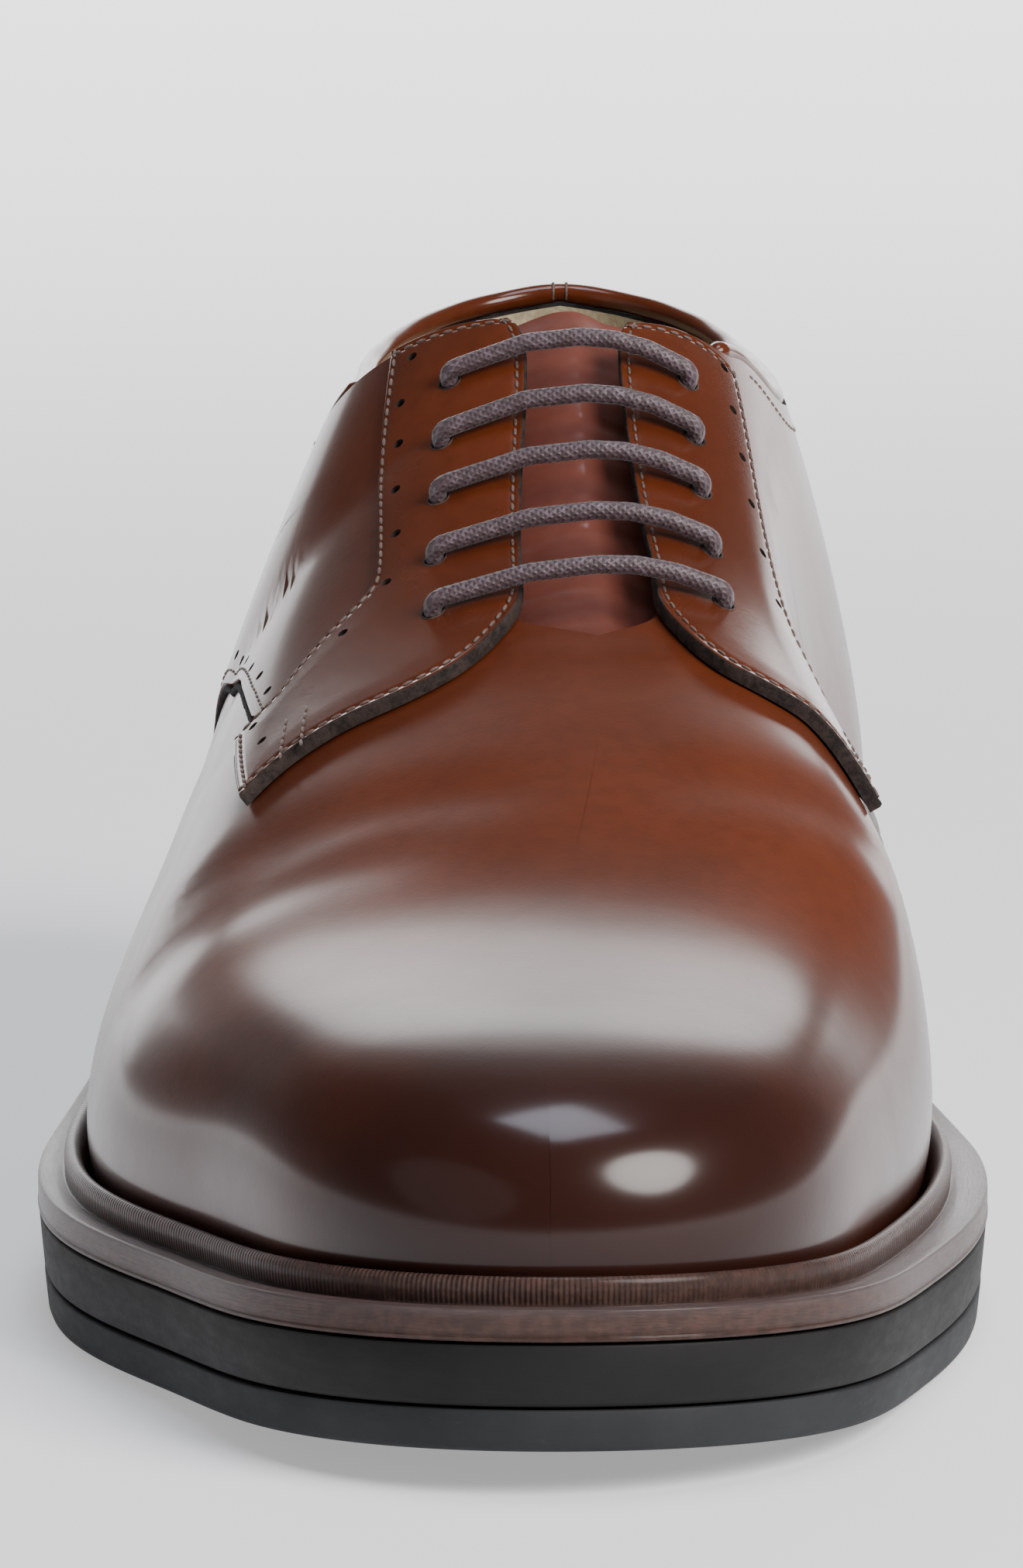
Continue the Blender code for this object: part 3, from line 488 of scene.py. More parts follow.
def quarter_lift(side, turn, rise):
    """Extra lift of the quarter over the vamp, behind its lower edge."""
    rows = column(QUARTER, QUARTER_COLUMNS, "rise")
    lateral = np.interp(rise, rows, column(QUARTER, QUARTER_COLUMNS, "lateral_along"))
    medial = np.interp(rise, rows, column(QUARTER, QUARTER_COLUMNS, "medial_along"))
    edge = np.where(np.asarray(side) < 0, lateral, medial)
    return QUARTER_STEP * ease((edge - along_of(turn)) / 0.004)


def plan_edge(turn, standouts):
    """Points round each half of the plan, lateral then medial, pushed out by a standout."""
    step = 1e-4
    edges = []
    for side, standout in zip((-1.0, 1.0), standouts):
        ahead = np.stack([plan_x(side, turn + step), along_of(turn + step) * LAST_LENGTH], -1)
        behind = np.stack([plan_x(side, turn - step), along_of(turn - step) * LAST_LENGTH], -1)
        run = ahead - behind
        run /= np.linalg.norm(run, axis=-1, keepdims=True)
        out = np.stack([run[:, 1], -run[:, 0]], -1) * side
        place = np.stack([plan_x(side, turn), along_of(turn) * LAST_LENGTH], -1)
        edge = place + out * standout[:, None]
        edge[turn == 0, 0] = 0.0
        edge[turn == math.pi, 0] = 0.0
        edges.append(edge)
    return edges


def sole_standout(turn, less=0.0):
    """How far the sole stands out past the feather line, lateral then medial."""
    rows = column(STANDOUT, STANDOUT_COLUMNS, "along")
    lateral = spline(rows, column(STANDOUT, STANDOUT_COLUMNS, "lateral"), along_of(turn))
    medial = spline(rows, column(STANDOUT, STANDOUT_COLUMNS, "medial"), along_of(turn))
    return lateral * SOLE_STANDOUT - less, medial * SOLE_STANDOUT - less


def tongue_lift(along, sweep):
    """Depth of the tongue's top under the last: low beside the throat, crowned in it."""
    crown = ease(1 - np.abs(sweep) / 0.13)
    depth = TONGUE_REST + (TONGUE_CROWN - TONGUE_REST) * crown
    root = ease((along - 0.565) / 0.035)
    return -(depth + (TONGUE_ROOT - depth) * root)


def rounded(corners, radius, steps):
    """Path with each sharp corner turned on a round of the given reach."""
    path = [corners[0]]
    for before, corner, after in zip(corners[:-2], corners[1:-1], corners[2:]):
        back = before - corner
        ahead = after - corner
        if back @ ahead < -0.9 * np.linalg.norm(back) * np.linalg.norm(ahead):
            path.append(corner)
            continue
        reach = min(radius, 0.48 * np.linalg.norm(back), 0.48 * np.linalg.norm(ahead))
        start = corner + back / np.linalg.norm(back) * reach
        finish = corner + ahead / np.linalg.norm(ahead) * reach
        share = np.linspace(0, 1, steps)[:, None]
        path.extend((1 - share) ** 2 * start + 2 * share * (1 - share) * corner + share**2 * finish)
    path.append(corners[-1])
    return np.array(path)


def shoe_origin():
    """Move that brings the middle of the welt's outline over the origin."""
    turn = np.linspace(0, math.pi, 33)
    edges = np.concatenate(plan_edge(turn, sole_standout(turn)))
    middle = (edges.min(axis=0) + edges.max(axis=0)) / 2
    return np.array([-middle[0], middle[1] - LAST_LENGTH / 2, 0.0])


ORIGIN = shoe_origin()


def quads(index):
    """Corners of every cell of a grid of vertex numbers."""
    return np.stack([index[:-1, :-1], index[:-1, 1:], index[1:, 1:], index[1:, :-1]], -1).reshape(-1, 4)


def closed(index):
    """The grid of vertex numbers with its first column again at the end."""
    return np.concatenate([index, index[:, :1]], 1)


def put(name, nodes, points, faces, looks, kinds=None, uv=None, join=0.00001, sharp=60):
    """Piece from points and faces: seams joined, faces outward, riding on the shoe."""
    mesh = bpy.data.meshes.new(name)
    mesh.from_pydata((points.reshape(-1, 3) + ORIGIN).tolist(), [], faces.tolist())
    for look in looks:
        mesh.materials.append(look)
    if kinds is not None:
        mesh.polygons.foreach_set("material_index", np.asarray(kinds, np.int32))
    if uv is not None:
        layer = mesh.uv_layers.new(name="Strip")
        layer.data.foreach_set("uv", uv.reshape(-1, 2)[faces.ravel()].ravel().astype(np.float32))
    work = bmesh.new()
    work.from_mesh(mesh)
    bmesh.ops.remove_doubles(work, verts=work.verts, dist=join)
    bmesh.ops.recalc_face_normals(work, faces=work.faces)
    if work.calc_volume(signed=True) < 0:
        bmesh.ops.reverse_faces(work, faces=work.faces)
    work.to_mesh(mesh)
    work.free()
    mesh.polygons.foreach_set("use_smooth", np.ones(len(mesh.polygons), bool))
    mesh.set_sharp_from_angle(angle=math.radians(sharp))
    piece = bpy.data.objects.new(name, mesh)
    bpy.context.scene.collection.objects.link(piece)
    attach(piece, "root")
    if nodes:
        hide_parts(*nodes)
    return piece


def carve(piece, cutter):
    """Take the cutter's rods out of the piece and drop the cutter."""
    change = piece.modifiers.new("holes", "BOOLEAN")
    change.operation = "DIFFERENCE"
    change.solver = "EXACT"
    change.object = cutter
    bpy.context.view_layer.update()
    mesh = bpy.data.meshes.new_from_object(piece.evaluated_get(bpy.context.evaluated_depsgraph_get()))
    piece.modifiers.clear()
    piece.data = mesh
    mesh.set_sharp_from_angle(angle=math.radians(40))
    bpy.data.objects.remove(cutter)


def frames_at(side, along, rise, lift):
    """Points on the surface with their outward normals and the direction up the toe-heel line."""
    turn = turn_of(along)
    place = surface(side, turn, rise, lift)
    normal = surface(side, turn, rise, lift + 0.001) - place
    normal /= np.linalg.norm(normal, axis=-1, keepdims=True)
    back = surface(side, turn - 0.002, rise, lift) - place
    back -= normal * (back * normal).sum(-1, keepdims=True)
    back /= np.linalg.norm(back, axis=-1, keepdims=True)
    return place, normal, back


def rods(name, places, low, high, radius, look):
    """Closed round rods square to the surface at (side, along, rise) places."""
    rows = np.array(places, float)
    centre, normal, back = frames_at(rows[:, 0], rows[:, 1], rows[:, 2], np.zeros(len(rows)))
    across = np.cross(normal, back)
    angle = np.linspace(0, 2 * math.pi, 20, endpoint=False)
    ring = back[:, None] * np.cos(angle)[:, None] + across[:, None] * np.sin(angle)[:, None]
    levels = ((low, 0.0), (low, 1.0), (high, 1.0), (high, 0.0))
    rings = [centre[:, None] + ring * radius * out + normal[:, None] * lift for lift, out in levels]
    points = np.stack(rings, 1)
    index = np.arange(len(rows) * 80).reshape(len(rows), 4, 20)
    faces = np.concatenate([quads(closed(one)) for one in index])
    mesh = bpy.data.meshes.new(name)
    mesh.from_pydata((points.reshape(-1, 3) + ORIGIN).tolist(), [], faces.tolist())
    mesh.materials.append(look)
    work = bmesh.new()
    work.from_mesh(mesh)
    bmesh.ops.remove_doubles(work, verts=work.verts, dist=0.000001)
    bmesh.ops.recalc_face_normals(work, faces=work.faces)
    work.to_mesh(mesh)
    work.free()
    piece = bpy.data.objects.new(name, mesh)
    bpy.context.scene.collection.objects.link(piece)
    return piece


def eyelet_list():
    """Side, along and rise of the ten eyelets, each pair lateral then medial."""
    places = []
    for row in EYELETS:
        values = dict(zip(EYELET_COLUMNS, row))
        places.append((-1, values["lateral_along"], values["lateral_rise"]))
        places.append((1, values["medial_along"], values["medial_rise"]))
    return places


def crease_depth(side, along, rise):
    """Sum of soft troughs: each a bell curve across its line, less a lip that stands up beside it."""
    total = np.zeros(np.broadcast(along, rise).shape)
    for row in CREASES:
        which, along_a, rise_a, along_b, rise_b, width, depth = (
            row[CREASE_COLUMNS.index(name)] for name in CREASE_COLUMNS
        )
        if which != side:
            continue
        run = np.array([(along_b - along_a) * LAST_LENGTH, (rise_b - rise_a) * CREASE_GIRTH])
        off = np.stack([(along - along_a) * LAST_LENGTH, (rise - rise_a) * CREASE_GIRTH], -1)
        share = np.clip(off @ run / (run @ run), 0, 1)
        far = np.linalg.norm(off - share[..., None] * run, axis=-1) / (width * 0.001)
        bell = np.exp(-far**2) - CREASE_LIP * np.exp(-((far - 1.5) ** 2))
        total = total + depth * 0.001 * bell
    return total


def shell_places(behind, ahead):
    """Places of the shell's columns, closer where the mouth climbs, five of them at the quarter's edge."""
    throat = MOUTH[-1][0]
    along = np.linspace(0, throat, 800)
    climb = np.abs(np.diff(mouth_rise(-1, along))) + np.abs(np.diff(mouth_rise(1, along)))
    path = np.concatenate([[0], np.cumsum(np.diff(turn_of(along)) + 0.9 * climb)])
    back = np.interp(np.linspace(0, path[-1], behind), path, along)
    back = back[np.abs(back - QUARTER_COLUMN - 0.003) > 0.004]
    corner = QUARTER_COLUMN + np.array([-0.0012, 0.0, 0.0006, 0.0020, 0.0045])
    back = np.sort(np.concatenate([back, corner]))
    front = along_of(np.linspace(float(turn_of(throat)), math.pi, ahead))
    return np.concatenate([back, front[1:]]), len(back)


def shell_side(side, places, behind, share):
    """Along, rise and outer lift over one side: columns lean so that one follows the quarter's edge."""
    low, high = QUARTER_REACH
    mouth = np.where(np.arange(len(places)) >= behind - 1, 1.0, mouth_rise(side, places))
    fade = np.interp(places, (low, QUARTER_COLUMN, QUARTER_COLUMN + QUARTER_RAMP, high), (0, 1, 1, 0))
    name = "lateral_along" if side < 0 else "medial_along"
    rise_there = share * float(mouth_rise(side, QUARTER_COLUMN))
    rows = column(QUARTER, QUARTER_COLUMNS, "rise")
    edge = np.interp(rise_there, rows, column(QUARTER, QUARTER_COLUMNS, name))
    lean = (edge - QUARTER_COLUMN) * ease((1 - share) / 0.10)
    along = places[:, None] + fade[:, None] * lean
    rise = mouth[:, None] * share
    step = np.array([-0.0016, 0.0, 0.0006, 0.0020, 0.0050])
    lift = np.interp(places - QUARTER_COLUMN, step, QUARTER_STEP * np.array([1.0, 0.93, 0.05, -0.06, 0.0]))
    lift = lift[:, None] - crease_depth(side, along, rise)
    return along, rise, lift


def facing_side(side, table, stations, cells):
    """Along, rise and distance from each border over a facing, rows closer near the borders."""
    at = (1 - np.cos(np.linspace(0, math.pi, stations))) / 2
    at = (0.35 * at + 0.65 * np.linspace(0, 1, stations)) * (len(table) - 1)
    rows = np.arange(len(table))
    edge_along, edge_rise, seam_along, seam_rise = (
        spline(rows, column(table, FACING_COLUMNS, name), at)[:, None] for name in FACING_COLUMNS
    )
    share = (1 - np.cos(np.linspace(0, math.pi, cells))) / 2
    share = (0.65 * share + 0.35 * np.linspace(0, 1, cells))[None, :]
    along = edge_along + (seam_along - edge_along) * share
    rise = edge_rise + (seam_rise - edge_rise) * share
    flat = surface(side, turn_of(along), rise, np.zeros(along.shape))
    over = np.linalg.norm(np.diff(flat, axis=1), axis=-1)
    down = np.linalg.norm(np.diff(flat, axis=0), axis=-1)
    from_edge = np.concatenate([np.zeros((stations, 1)), np.cumsum(over, 1)], 1)
    from_top = np.concatenate([np.zeros((1, cells)), np.cumsum(down, 0)], 0)
    return along, rise, from_edge, from_edge[:, -1:] - from_edge, from_top, from_top[-1:] - from_top


def line_at(distance, depth, *values):
    """Each value where the distance reaches the depth, row by row."""
    return [np.array([np.interp(depth, d, v) for d, v in zip(distance, value)]) for value in values]


def smooth_ring(points, times):
    """Corner cutting round the second axis: each side keeps its middle half."""
    for _ in range(times):
        ahead = np.roll(points, -1, axis=1)
        pair = np.stack([0.75 * points + 0.25 * ahead, 0.25 * points + 0.75 * ahead], 2)
        points = pair.reshape(points.shape[0], -1, points.shape[2])
    return points


def wall_lines(turn, heights):
    """Plan points of the upper's outer wall at each height over the seat, lateral then medial."""
    sides = []
    for side in (-1.0, 1.0):
        rise = np.linspace(0, 0.35, 29)[None, :] + np.zeros((len(turn), 1))
        turns = turn[:, None] + np.zeros(rise.shape)
        lift = quarter_lift(side, turn_of(along_of(turns) - QUARTER_CLEARANCE), rise)
        wall = surface(side, turns, rise, lift)
        wall[:, 0, 2] = seat(along_of(turn))
        above = wall[..., 2] - seat(along_of(turns))
        lines = [
            [np.interp(heights, up, row[:, axis]) for axis in (0, 1)]
            for up, row in zip(above, wall)
        ]
        sides.append(np.array(lines))
    return sides


def along_path(path):
    """Distance along a path at each of its points."""
    return np.concatenate([[0], np.cumsum(np.linalg.norm(np.diff(path, axis=0), axis=1))])


def even_path(path, step):
    """The path again with points one step apart."""
    length = along_path(path)
    at = np.linspace(0, length[-1], max(2, int(round(length[-1] / step)) + 1))
    return np.stack([np.interp(at, length, path[:, axis]) for axis in range(path.shape[1])], -1)


def beside_edge(side, behind, lift):
    """Points and normals a steady distance behind the quarter's front edge, from the welt to the facing."""
    rise = np.linspace(0.02, 0.61 if side < 0 else 0.49, 120)
    name = "lateral_along" if side < 0 else "medial_along"
    rises = column(QUARTER, QUARTER_COLUMNS, "rise")
    along = np.interp(rise, rises, column(QUARTER, QUARTER_COLUMNS, name))
    along[8:-8] = np.convolve(along, np.ones(17) / 17, "valid")
    place, normal = frames_at(side, along, rise, np.full(120, lift))[:2]
    run = np.gradient(place, axis=0)
    run /= np.linalg.norm(run, axis=1, keepdims=True)
    aside = np.cross(normal, run)
    aside *= np.sign(aside[:, 1].sum())
    return place + aside * behind, normal


def rims(places, lift, radius, thick):
    """Thin rings lying round holes at (side, along, rise) places."""
    rows = np.array(places, float)
    centre, normal, back = frames_at(rows[:, 0], rows[:, 1], rows[:, 2], np.full(len(rows), lift))
    across = np.cross(normal, back)
    angle = np.linspace(0, 2 * math.pi, 24, endpoint=False)
    ring = back[:, None] * np.cos(angle)[:, None] + across[:, None] * np.sin(angle)[:, None]
    round_ = np.linspace(0, 2 * math.pi, 8, endpoint=False)
    out = radius + thick * np.cos(round_)
    lifted_by = (normal[:, None] * (thick * np.sin(round_))[:, None])[:, None]
    points = centre[:, None, None] + ring[:, :, None] * out[:, None] + lifted_by
    index = np.arange(len(rows) * 192).reshape(len(rows), 24, 8)
    looped = np.concatenate([index, index[:, :1]], 1)
    return points, np.concatenate([quads(closed(one)) for one in looped])


def carried_frames(path):
    """Two crosswise directions at each point of a path, turned as little as possible."""
    tangent = np.gradient(path, axis=0)
    tangent /= np.linalg.norm(tangent, axis=1, keepdims=True)
    across = np.empty_like(path)
    across[0] = np.cross(tangent[0], (0.0, 0.3, 1.0))
    for k in range(1, len(path)):
        across[k] = across[k - 1] - tangent[k] * (across[k - 1] @ tangent[k])
        across[k] /= np.linalg.norm(across[k])
    across[0] /= np.linalg.norm(across[0])
    return across, np.cross(tangent, across)


def rod_mesh(path, radius, sides):
    """Rings of radius(distance, angle) round a path, ends drawn shut, with strip coordinates."""
    across, other = carried_frames(path)
    distance = along_path(path)[:, None]
    angle = np.linspace(0, 2 * math.pi, sides, endpoint=False)[None, :]
    size = radius(distance, angle)
    round_ = across[:, None] * np.cos(angle)[..., None] + other[:, None] * np.sin(angle)[..., None]
    rings = path[:, None] + round_ * size[..., None]
    ends = [np.repeat(path[:1, None], sides, 1), np.repeat(path[-1:, None], sides, 1)]
    points = np.concatenate([ends[0], rings, ends[1]])
    uv = np.stack(np.broadcast_arrays(distance, angle / (2 * math.pi)), -1)
    uv = np.concatenate([uv[:1], uv, uv[-1:]])
    index = np.arange(points.shape[0] * sides).reshape(-1, sides)
    return points, quads(closed(index)), uv


def stitch_mesh(rows, pitch, length, thick):
    """Short raised threads along each row of points with normals, as half-sunk grains of few faces."""
    spots = []
    for path, normal in rows:
        far = along_path(path)
        at = np.arange(pitch / 2, far[-1], pitch)
        both = np.concatenate([path, normal], 1)
        joined = np.stack([np.interp(at, far, both[:, axis]) for axis in range(6)], -1)
        run = np.gradient(joined[:, :3], axis=0)
        run /= np.linalg.norm(run, axis=1, keepdims=True)
        out = joined[:, 3:] / np.linalg.norm(joined[:, 3:], axis=1, keepdims=True)
        spots.append(np.stack([joined[:, :3], run, out, np.cross(run, out)], 1))
    spots = np.concatenate(spots)
    lean = np.linspace(0, math.pi, 7)[:, None]
    angle = np.linspace(0, 2 * math.pi, 8, endpoint=False)[None, :]
    full = np.sin(lean) ** 0.6
    unit = np.stack(np.broadcast_arrays(-np.cos(lean), full * np.cos(angle), full * np.sin(angle)), -1)
    size = unit * (length / 2, thick / 2, thick / 2)
    points = spots[:, None, None, 0] + np.einsum("lac,ncd->nlad", size, spots[:, 1:])
    index = np.arange(len(spots) * 56).reshape(-1, 7, 8)
    return points, np.concatenate([quads(closed(one)) for one in index])


def srgb(red, green, blue):
    """Linear colour of a colour given in 0 to 255."""
    value = np.array([red, green, blue]) / 255
    return tuple(np.where(value <= 0.04045, value / 12.92, ((value + 0.055) / 1.055) ** 2.4).tolist())


class Finish:
    """A material under construction: each call adds one node and gives its first output."""

    def __init__(self, name, roughness, **sockets):
        self.material = bpy.data.materials.new(name)
        self.material.use_nodes = True
        self.tree = self.material.node_tree
        self.shader = self.tree.nodes["Principled BSDF"]
        self.set("Roughness", roughness)
        for socket, value in sockets.items():
            self.set(socket.replace("_", " "), value)
        self.place = self.add("ShaderNodeTexCoord", output="Object")

    def set(self, socket, value):
        """Put a value or another node's output on the shader."""
        self.join(self.shader.inputs[socket], value)

    def join(self, socket, value):
        """Link an output, or write a plain value."""
        if isinstance(value, bpy.types.NodeSocket):
            self.tree.links.new(value, socket)
        else:
            socket.default_value = value

    def add(self, kind, inputs=(), output=0, **settings):
        """New node with settings and inputs by name or number."""
        node = self.tree.nodes.new(kind)
        for name, value in settings.items():
            setattr(node, name, value)
        for name, value in dict(inputs).items():
            self.join(node.inputs[name], value)
        return node.outputs[output]

    def noise(self, scale, detail=2.0, stretch=(1, 1, 1), rough=0.5, where=None):
        """Cloudy pattern with features of about 1/scale metres."""
        spot = where or self.place
        if stretch != (1, 1, 1):
            spot = self.add("ShaderNodeMapping", {"Vector": spot, "Scale": stretch})
        inputs = {"Vector": spot, "Scale": scale, "Detail": detail, "Roughness": rough}
        return self.add("ShaderNodeTexNoise", inputs)

    def cells(self, scale, where=None):
        """Distance to the nearest of many scattered points: pores."""
        return self.add("ShaderNodeTexVoronoi", {"Vector": where or self.place, "Scale": scale})

    def spread(self, value, low, high, to_low=0.0, to_high=1.0):
        """A value's range drawn over another range, smoothly, and held at its ends."""
        settings = {"Value": value, "From Min": low, "From Max": high, "To Min": to_low, "To Max": to_high}
        return self.add("ShaderNodeMapRange", settings, interpolation_type="SMOOTHSTEP")

    def sum(self, first, second, way="ADD", third=0.0):
        """Plain arithmetic on two or three values."""
        return self.add("ShaderNodeMath", {0: first, 1: second, 2: third}, operation=way)

    def blend(self, share, first, second, way="MIX"):
        """Two colours mixed by a share."""
        node = self.tree.nodes.new("ShaderNodeMix")
        node.data_type = "RGBA"
        node.blend_type = way
        for number, value in ((0, share), (6, first), (7, second)):
            if isinstance(value, tuple):
                value = (*value, 1.0)
            self.join(node.inputs[number], value)
        return node.outputs[2]

    def axis(self, name, where=None):
        """One coordinate of the place."""
        return self.add("ShaderNodeSeparateXYZ", {0: where or self.place}, output=name)

    def bump(self, layers):
        """Heights in metres laid over each other and put on the shader."""
        normal = None
        for height, depth in layers:
            inputs = {"Height": height, "Distance": depth, "Strength": 1.0}
            if normal:
                inputs["Normal"] = normal
            normal = self.add("ShaderNodeBump", inputs)
        self.set("Normal", normal)
        return self.material


def polished_leather(name, brown, dark, dark_toe_and_low_shade=True, roughness=0.38):
    """Polished calf: mottled brown with fine pores, burnished dark over the toe, and darker low on the wall
    as painted shade by the welt.
    """
    wax = {"Coat_Weight": 0.72, "Coat_Roughness": 0.17, "Coat_IOR": 1.45}
    skin = Finish(name, roughness, Specular_IOR_Level=0.10, **wax)
    skin.set("Specular Tint", (0.30, 0.24, 0.22, 1.0))
    cloud = skin.noise(26.0, 4.0, (1.0, 0.6, 1.0))
    fine = skin.noise(420.0, 3.0)
    worn = skin.blend(skin.spread(cloud, 0.32, 0.70), brown, tuple(c * 0.62 for c in brown))
    colour = skin.blend(skin.spread(fine, 0.35, 0.72, 0.0, 0.22), worn, tuple(c * 0.45 for c in brown))
    if dark_toe_and_low_shade:
        drift = skin.sum(skin.noise(34.0, 3.0), 0.05, "MULTIPLY")
        ahead = skin.sum(skin.axis("Y"), drift)
        toe = skin.spread(ahead, -0.116, -0.046, 1.0, 0.0)
        # Painted shade: the colour darkens low on the wall, towards the welt.
        low = skin.spread(skin.axis("Z"), 0.020, 0.052, 0.55, 0.0)
        colour = skin.blend(skin.add("ShaderNodeMath", {0: toe, 1: low}, operation="MAXIMUM"), colour, dark)
    skin.set("Base Color", colour)
    haze = skin.sum(skin.noise(90.0, 5.0), 0.16, "MULTIPLY")
    skin.set("Roughness", skin.sum(haze, roughness - 0.08))
    layers = (
        (skin.noise(60.0, 3.0, (1.0, 0.4, 1.0)), 0.00022),
        (skin.noise(230.0, 3.0), 0.00003),
        (skin.cells(1900.0), 0.000008),
    )
    return skin.bump(layers)


def raw_leather(name, colour):
    """Cut edge of leather: grey-brown, fibrous and dull."""
    skin = Finish(name, 0.82, Specular_IOR_Level=0.25)
    fibre = skin.noise(1500.0, 4.0, (1, 1, 1), 0.7)
    band = skin.noise(300.0, 3.0)
    pale = tuple(min(1.0, c * 2.2) for c in colour)
    deep = tuple(c * 0.5 for c in colour)
    skin.set("Base Color", skin.blend(skin.spread(skin.sum(fibre, band), 0.75, 1.25), deep, pale))
    return skin.bump(((band, 0.00022), (fibre, 0.00016)))


def soft_lining(name, colour):
    """Brushed lining: pale, with a short nap."""
    skin = Finish(name, 0.9, Sheen_Weight=0.25, Sheen_Roughness=0.5, Specular_IOR_Level=0.2)
    nap = skin.noise(1100.0, 4.0)
    skin.set("Base Color", skin.blend(skin.spread(nap, 0.3, 0.7), tuple(c * 0.72 for c in colour), colour))
    return skin.bump(((nap, 0.00012),))


def braided_cord(name, colour, light):
    """Waxed round braid: crossing strands along the strip, with pale flecks where they rise, a painted
    highlight on the crests.
    """
    skin = Finish(name, 0.50, Sheen_Weight=0.30, Sheen_Roughness=0.4, Coat_Weight=0.12, Coat_Roughness=0.35)
    strip = skin.add("ShaderNodeUVMap", uv_map="Strip")
    run = skin.sum(skin.axis("X", strip), 2 * math.pi / BRAID_PITCH, "MULTIPLY")
    turn = skin.sum(skin.axis("Y", strip), 2 * math.pi * 8, "MULTIPLY")
    one = skin.sum(skin.sum(run, turn), 0.0, "SINE")
    two = skin.sum(skin.sum(run, turn, "SUBTRACT"), 0.0, "SINE")
    strands = skin.add("ShaderNodeMath", {0: one, 1: two}, operation="MAXIMUM")
    fleck = skin.noise(900.0, 3.0)
    # Painted highlight: the raised crests of the strands are paler.
    share = skin.sum(skin.spread(strands, -0.1, 1.0), skin.spread(fleck, 0.42, 0.75), "MULTIPLY")
    skin.set("Base Color", skin.blend(share, colour, light))
    return skin.bump(((strands, 0.00004), (fleck, 0.00005)))


def thread(name, colour):
    """Twisted sewing thread, darker where the twist dips, as painted shade."""
    skin = Finish(name, 0.55, Sheen_Weight=0.2)
    twist = skin.noise(2600.0, 2.0)
    hollow_shade = tuple(c * 0.5 for c in colour)
    # Painted shade: the colour darkens where the twist's bump is low.
    skin.set("Base Color", skin.blend(skin.spread(twist, 0.35, 0.65), hollow_shade, colour))
    return skin.bump(((twist, 0.00003),))


def welt_leather(name, brown, worn_silver_sheen):
    """Waxed welt: dark brown edge, a greyed band along the top that is partly wear and partly painted
    sheen, and fine ribs over the bead.
    """
    skin = Finish(name, 0.40, Coat_Weight=0.16, Coat_Roughness=0.2, Specular_IOR_Level=0.25)
    strip = skin.add("ShaderNodeUVMap", uv_map="Strip")
    run = skin.axis("X", strip)
    over = skin.axis("Y", strip)
    smear = skin.noise(1.0, 4.0, (160.0, 900.0, 1.0), where=strip)
    grain = skin.noise(700.0, 3.0)
    # The greyed band on the top is wear streaks and painted sheen.
    top = skin.sum(skin.spread(over, 0.27, 0.34), skin.spread(over, 0.52, 0.60, 1.0, 0.0), "MULTIPLY")
    worn = skin.sum(skin.spread(smear, 0.40, 0.66, 0.25, 0.95), top, "MULTIPLY")
    base = skin.blend(skin.spread(grain, 0.35, 0.70), brown, tuple(c * 1.7 for c in brown))
    skin.set("Base Color", skin.blend(worn, base, worn_silver_sheen))
    skin.set("Roughness", skin.sum(skin.sum(smear, 0.25, "MULTIPLY"), 0.20))
    bead = skin.sum(skin.spread(over, 0.56, 0.62), skin.spread(over, 0.86, 0.90, 1.0, 0.0), "MULTIPLY")
    rib = skin.sum(skin.sum(run, 2 * math.pi / 0.00072, "MULTIPLY"), 0.0, "SINE")
    ribs = skin.sum(rib, bead, "MULTIPLY")
    return skin.bump(((smear, 0.00008), (ribs, 0.00006), (grain, 0.00003)))


def sole_rubber(name, colour, roughness):
    """Moulded rubber: matt, faintly cloudy, with fine scuffs along the side."""
    skin = Finish(name, roughness, Specular_IOR_Level=0.22)
    cloud = skin.noise(60.0, 4.0)
    scuff = skin.noise(240.0, 4.0, (1.0, 1.0, 3.5), 0.65)
    fleck = skin.noise(1300.0, 2.0)
    dull, fresh, scuffed = (tuple(c * times for c in colour) for times in (0.85, 1.15, 2.1))
    base = skin.blend(skin.spread(cloud, 0.3, 0.7), dull, fresh)
    skin.set("Base Color", skin.blend(skin.spread(scuff, 0.60, 0.78, 0.0, 0.45), base, scuffed))
    skin.set("Roughness", skin.sum(skin.sum(scuff, 0.25, "MULTIPLY"), roughness - 0.12))
    return skin.bump(((fleck, 0.00002), (cloud, 0.00010)))


def plain_insole(name, colour):
    """Vegetable-tanned insole leather, darker in cloudy patches."""
    skin = Finish(name, 0.6, Specular_IOR_Level=0.35)
    cloud = skin.noise(30.0, 4.0)
    pores = skin.cells(1200.0)
    worn = tuple(c * 0.6 for c in colour)
    skin.set("Base Color", skin.blend(skin.spread(cloud, 0.35, 0.7), colour, worn))
    return skin.bump(((pores, 0.00004), (cloud, 0.0001)))


def colour_setting(name, description, value):
    """Colour that a user may change, given in 0 to 255."""
    looks = {"subtype": "COLOR", "size": 3, "min": 0, "max": 1}
    return FloatVectorProperty(name=name, description=description, default=srgb(*value), **looks)


def length_setting(name, description, value):
    """Length that a user may change, in metres."""
    looks = {"subtype": "DISTANCE", "unit": "LENGTH", "min": 0, "precision": 5}
    return FloatProperty(name=name, description=description, default=value, **looks)


class DerbySizes(PropertyGroup):
    """Sizes of the fine work."""

    edge_round: length_setting("Edge round", "Round of the facing's cut edges", 0.00035)
    stitch_inset: length_setting("Stitch inset", "Stitch row from a cut edge", 0.00125)
    seam_inset: length_setting("Seam inset", "Stitch row from the facing's outer seam", 0.00075)
    stitch_pitch: length_setting("Stitch pitch", "Thread to thread along a row", 0.00190)
    stitch_length: length_setting("Stitch length", "Length of one thread on the surface", 0.00135)
    thread_thickness: length_setting("Thread thickness", "Thickness of the thread", 0.00042)
    groove_depth: length_setting("Groove depth", "How far a stitch row pulls the leather in", 0.00014)
    hole_radius: length_setting("Hole radius", "Radius of the punched holes", 0.00072)
    eyelet_radius: length_setting("Eyelet radius", "Radius of the eyelets", 0.00135)
    braid_depth: length_setting("Braid depth", "Height of the lace's strands", 0.00004)


